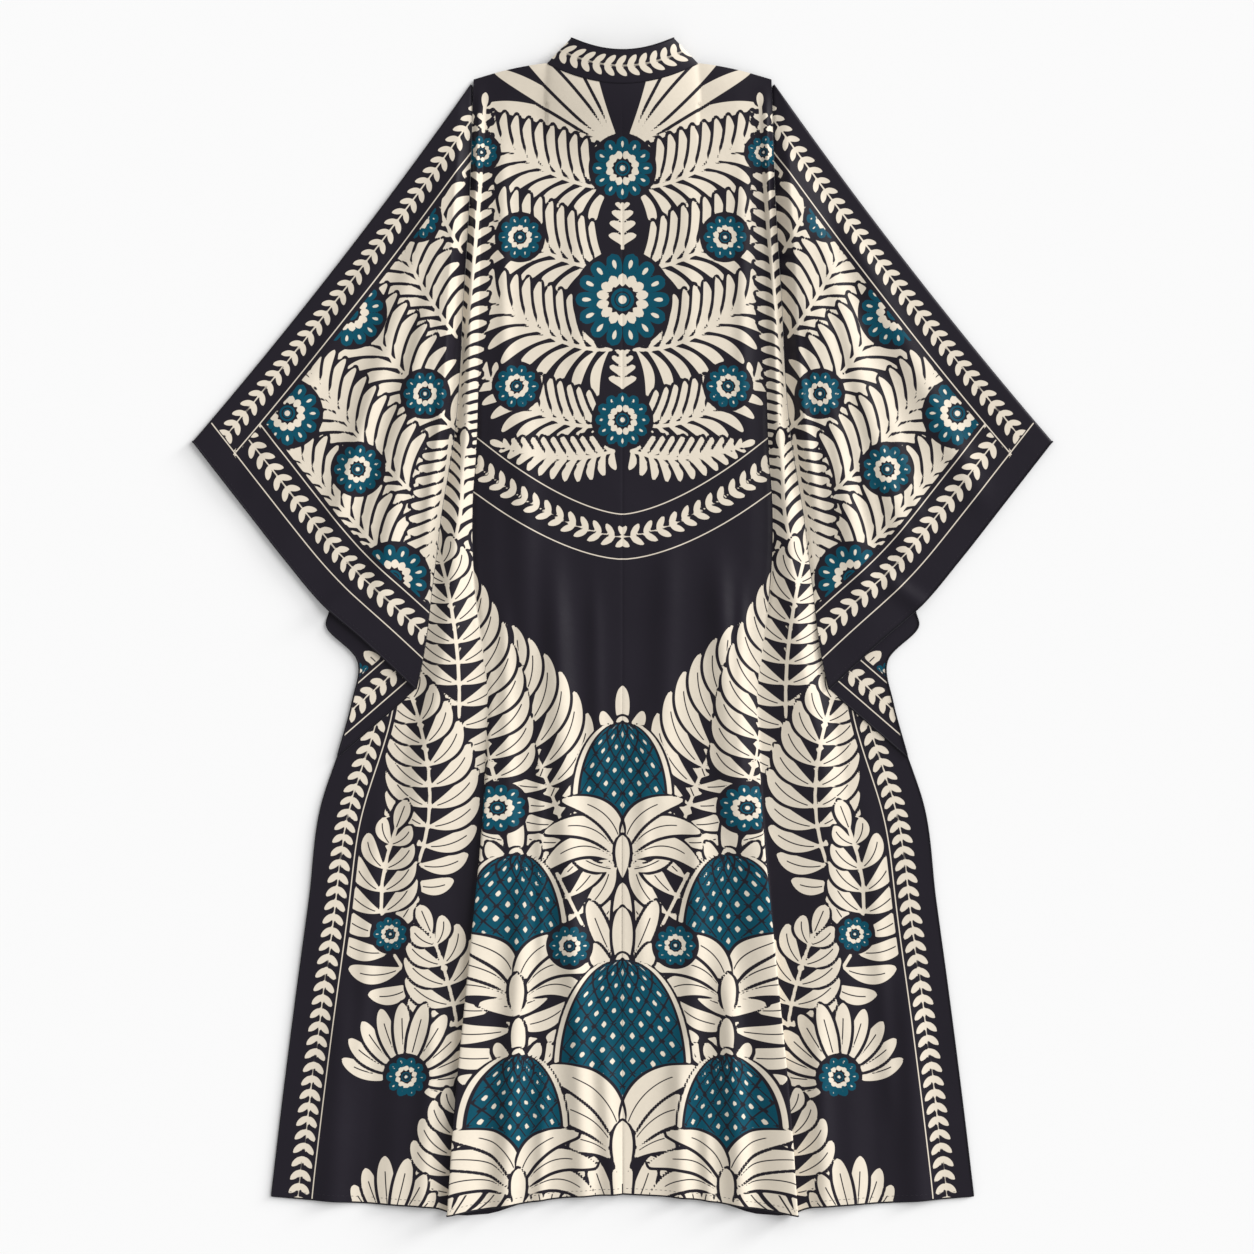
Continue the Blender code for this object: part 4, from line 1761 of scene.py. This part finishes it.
@dataclass
class Collar:
    """Stand collar: one band that rounds away at both sides and ends at the centre front."""

    base_half: float = 95.0
    top_half: float = 64.0
    base_rise: float = 12.0
    top_rise: float = 13.5
    front_gap: float = 7.0
    stand: float = 40.0
    side_loss: float = 9.0
    columns: int = 260
    rows: int = 22
    edges: Array = field(init=False)

    def build(self, page: Page, material: bpy.types.Material) -> bpy.types.Object:
        """Model the collar.

        Args:
            page: Its print.
            material: The silk.

        Returns:
            The finished piece.
        """
        end = math.pi - math.asin(self.front_gap / self.base_half)
        turn, share = np.meshgrid(np.linspace(-end, end, self.columns + 1), np.linspace(0, 1, self.rows + 1))
        half = self.base_half + (self.top_half - self.base_half) * share
        rise = self.base_rise + (self.top_rise - self.base_rise) * share
        base = self.base_half * np.sin(turn)
        back, front = LINES.neckline(LINES.back_neck, base), LINES.neckline(LINES.front_neck, base)
        stand = (self.stand - self.side_loss * np.sin(turn) ** 2) * share
        y = np.where(np.cos(turn) >= 0, back, front) - 0.9 + stand * (1 + 1.6 / self.stand)
        swell = 0.7 * np.sin(math.pi * share)
        z = rise + (rise + swell) * np.cos(turn) * np.where(np.cos(turn) >= 0, 1, 0.90)
        z = z + 0.45 * (1 - share) ** 4 * np.where(np.cos(turn) >= 0, 1, 0)
        places = np.stack([half * np.sin(turn), y, z], axis=-1)
        steps = np.hypot(*np.diff(places[self.rows // 2, :, :2], axis=0).T)
        steps = np.hypot(steps, np.diff(places[self.rows // 2, :, 2]))
        run = np.concatenate([[0], np.cumsum(steps)])
        run = run - run[self.columns // 2]
        page_height = CollarPrint.width
        self.edges = places
        patch = Patch(self.columns, self.rows, places, page, run[None, :] + 0 * share, page_height * share)
        made = sew("collar_cloth", [patch], False, material)
        wall = made.modifiers.new("wall", "SOLIDIFY")
        wall.thickness = 1.2 * MM
        wall.offset = -1.0
        return made


@dataclass
class RolledHem:
    """Narrow hand-rolled edge: a soft tube of cloth along a finished edge."""

    name: str
    radius: float = 1.15

    def build(self, path: Array, material: bpy.types.Material) -> bpy.types.Object:
        """Model the hem.

        Args:
            path: Places along the edge.
            material: The silk.

        Returns:
            The finished piece.
        """
        curve = bpy.data.curves.new(self.name, "CURVE")
        curve.dimensions = "3D"
        curve.bevel_depth = self.radius * MM
        curve.bevel_resolution = 1
        curve.use_fill_caps = True
        run = curve.splines.new("POLY")
        run.points.add(len(path) - 1)
        for point, place in zip(run.points, path):
            point.co = (*(place * MM), 1)
        guide = placed(self.name + "_guide", curve)
        shaped = guide.evaluated_get(bpy.context.evaluated_depsgraph_get())
        mesh = bpy.data.meshes.new_from_object(shaped)
        bpy.data.objects.remove(guide)
        mesh.shade_smooth()
        mesh.materials.clear()
        mesh.materials.append(material)
        return placed(self.name, mesh)


@dataclass
class Stitches:
    """Row of small hemming stitches that lie along the cloth."""

    name: str
    pitch: float = 6.0
    length: float = 2.6
    width: float = 0.45

    def build(self, paths: list[Array], material: bpy.types.Material) -> bpy.types.Object:
        """Model the stitches.

        Args:
            paths: Rows of places that the stitches follow.
            material: The thread.

        Returns:
            The finished piece.
        """
        bm = bmesh.new()
        for path in paths:
            steps = np.linalg.norm(np.diff(path, axis=0), axis=1)
            run = np.concatenate([[0], np.cumsum(steps)])
            for s in np.arange(self.pitch, run[-1] - self.pitch, self.pitch):
                place = np.array([np.interp(s, run, path[:, k]) for k in range(3)])
                ahead = np.array([np.interp(s + self.length, run, path[:, k]) for k in range(3)])
                way = Vector(ahead - place).normalized()
                turn = way.to_track_quat("X", "Z").to_matrix().to_4x4()
                size = Matrix.Diagonal((self.length * MM, self.width * MM, self.width * MM, 1))
                where = Matrix.Translation(Vector((*(place * MM),)))
                bmesh.ops.create_cube(bm, size=1.0, matrix=where @ turn @ size)
        mesh = written(self.name, bm)
        mesh.materials.append(material)
        return placed(self.name, mesh)


@dataclass
class Studio:
    """Pale floor, soft light from the upper right and a camera that looks straight down."""

    field_mm: float = 1567.5
    centre: Point = (5.6, -0.6)
    lens: float = 100.0
    sensor: float = 36.0
    floor_half: float = 40.0
    floor_colour: tuple[float, float, float] = (0.90, 0.90, 0.90)
    sky_strength: float = 0.55

    def build(self) -> None:
        """Set up the floor, lights and camera."""
        self.floor()
        self.light("key", (1.0, 0.60, 0.90), 1.95, 40.0)
        self.light("low_key", (1.0, 0.60, 0.27), 1.95, 16.0)
        world = bpy.data.worlds.new("studio")
        world.use_nodes = True
        world.node_tree.nodes["Background"].inputs["Color"].default_value = (1, 1, 1, 1)
        world.node_tree.nodes["Background"].inputs["Strength"].default_value = self.sky_strength
        bpy.context.scene.world = world
        bpy.context.scene.view_settings.view_transform = "Standard"
        camera = bpy.data.cameras.new("camera")
        camera.lens = self.lens
        camera.sensor_width = self.sensor
        camera.clip_end = 50.0
        made = placed("camera", camera)
        height = self.lens / self.sensor * self.field_mm * MM
        made.location = (self.centre[0] * MM, self.centre[1] * MM, height)
        bpy.context.scene.camera = made

    def light(self, name: str, place: tuple[float, float, float], strength: float, spread: float) -> None:
        """Hang one broad, even light.

        Args:
            name: The light's name.
            place: Direction that it comes from.
            strength: Its strength.
            spread: Its width in degrees.
        """
        data = bpy.data.lights.new(name, "SUN")
        data.energy = strength
        data.angle = math.radians(spread)
        hung = placed(name, data)
        hung.location = place
        hung.rotation_euler = Vector(place).to_track_quat("Z", "Y").to_euler()

    def floor(self) -> None:
        """Lay the floor."""
        bm = bmesh.new()
        bmesh.ops.create_grid(bm, x_segments=8, y_segments=8, size=self.floor_half)
        mesh = written("floor", bm)
        material, shader = new_material("floor", Roughness=0.9, Specular_IOR_Level=0.1)
        shader.inputs["Base Color"].default_value = (*self.floor_colour, 1)
        mesh.materials.append(material)
        floor = placed("floor", mesh)


@dataclass(frozen=True)
class Cloths:
    """Materials and printed pages that both halves of the robe are made with."""

    silk: bpy.types.Material
    edge: bpy.types.Material
    thread: bpy.types.Material
    body: Page
    sleeve: Page
    corner: Page
    plain: Page


@dataclass
class Robe:
    """The whole robe: cloth, hems and stitches."""

    made: list[bpy.types.Object] = field(default_factory=list)
    sink: Array = field(default_factory=lambda: np.array([0, 0, 0.5]))

    def add(self, piece: bpy.types.Object, slot: str, *nodes: str) -> bpy.types.Object:
        """Join a piece to the robe's one body.

        Args:
            piece: The piece.
            slot: Not used.
            nodes: Solids that it stands for.

        Returns:
            The piece.
        """
        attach(piece, "root")
        if nodes:
            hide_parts(*nodes)
        self.made.append(piece)
        LOG.info("%s: %d faces", piece.name, len(piece.data.polygons))
        return piece

    def build(self) -> None:
        """Build every piece of the robe."""
        silk = PrintedSilk().build()
        edge = Thread("rolled edge", (0.0060, 0.0050, 0.0085)).build()
        thread = Thread("hemming thread", (0.020, 0.018, 0.024)).build()
        prints = BodyPrint(), SleevePrint(), CornerPrint(), CollarPrint()
        body, sleeve, corner, collar = (design.build() for design in prints)
        plain = Page((-4, -760), (540, 730), step=8.0)
        for side in Side:
            self.half(side, Cloths(silk, edge, thread, body, sleeve, corner, plain))
        band = Collar()
        cloth = self.add(band.build(collar, silk), "collar_silk", "collar")
        rim = self.add(RolledHem("collar_rim", 0.9).build(band.edges[-1] - self.sink, edge), "collar_silk")
        LOG.info("%d pieces in all", len(self.made))

    def half(self, side: Side, cloths: Cloths) -> None:
        """Build one half of the robe.

        Args:
            side: Which half.
            cloths: The materials and printed pages.
        """
        word = side.word
        front = FrontHalf(side)
        lower = self.add(front.build(cloths.plain, cloths.silk), "printed_silk", f"front_{word}")
        back = BackHalf(side)
        upper = self.add(back.build(cloths.body, cloths.silk), "printed_silk", f"back_{word}")
        grid, flank = back.edges
        hem = np.concatenate([grid[-1], flank[-1, 1:], flank[::-1, -1][1:]])
        tube = RolledHem(f"hem_{word}").build(hem - self.sink, cloths.edge)
        hem_piece = self.add(tube, "printed_silk")
        rows = [grid[-4], flank[-4, 1:-3]]
        stitches = Stitches(f"hem_stitches_{word}").build(rows, cloths.thread)
        sewn = self.add(stitches, "printed_silk")
        arm = Sleeve(side)
        made = arm.build(cloths.sleeve, cloths.corner, cloths.silk)
        cloth = self.add(made, "printed_silk", f"sleeve_{word}")
        mirror = np.array([side.value, 1, 1])
        over, turn, under = (part * mirror for part in arm.edges)
        cuff = np.concatenate([over[-1], turn[-1], under[-1], under[::-1, -1][1:60]])
        cuff[:, 2] = np.maximum(cuff[:, 2], 1.2)
        cuff_piece = self.add(RolledHem(f"cuff_{word}").build(cuff, cloths.edge), "printed_silk")
        stitches = Stitches(f"cuff_stitches_{word}").build([over[-4, :-4]], cloths.thread)
        sewn = self.add(stitches, "printed_silk")


def main() -> None:
    """Load the frame, build the robe and its studio, and log each piece's face count."""
    logging.basicConfig(level=logging.INFO, format="%(name)s: %(message)s")
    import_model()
    Robe().build()
    Studio().build()


if __name__ == "__main__":
    main()
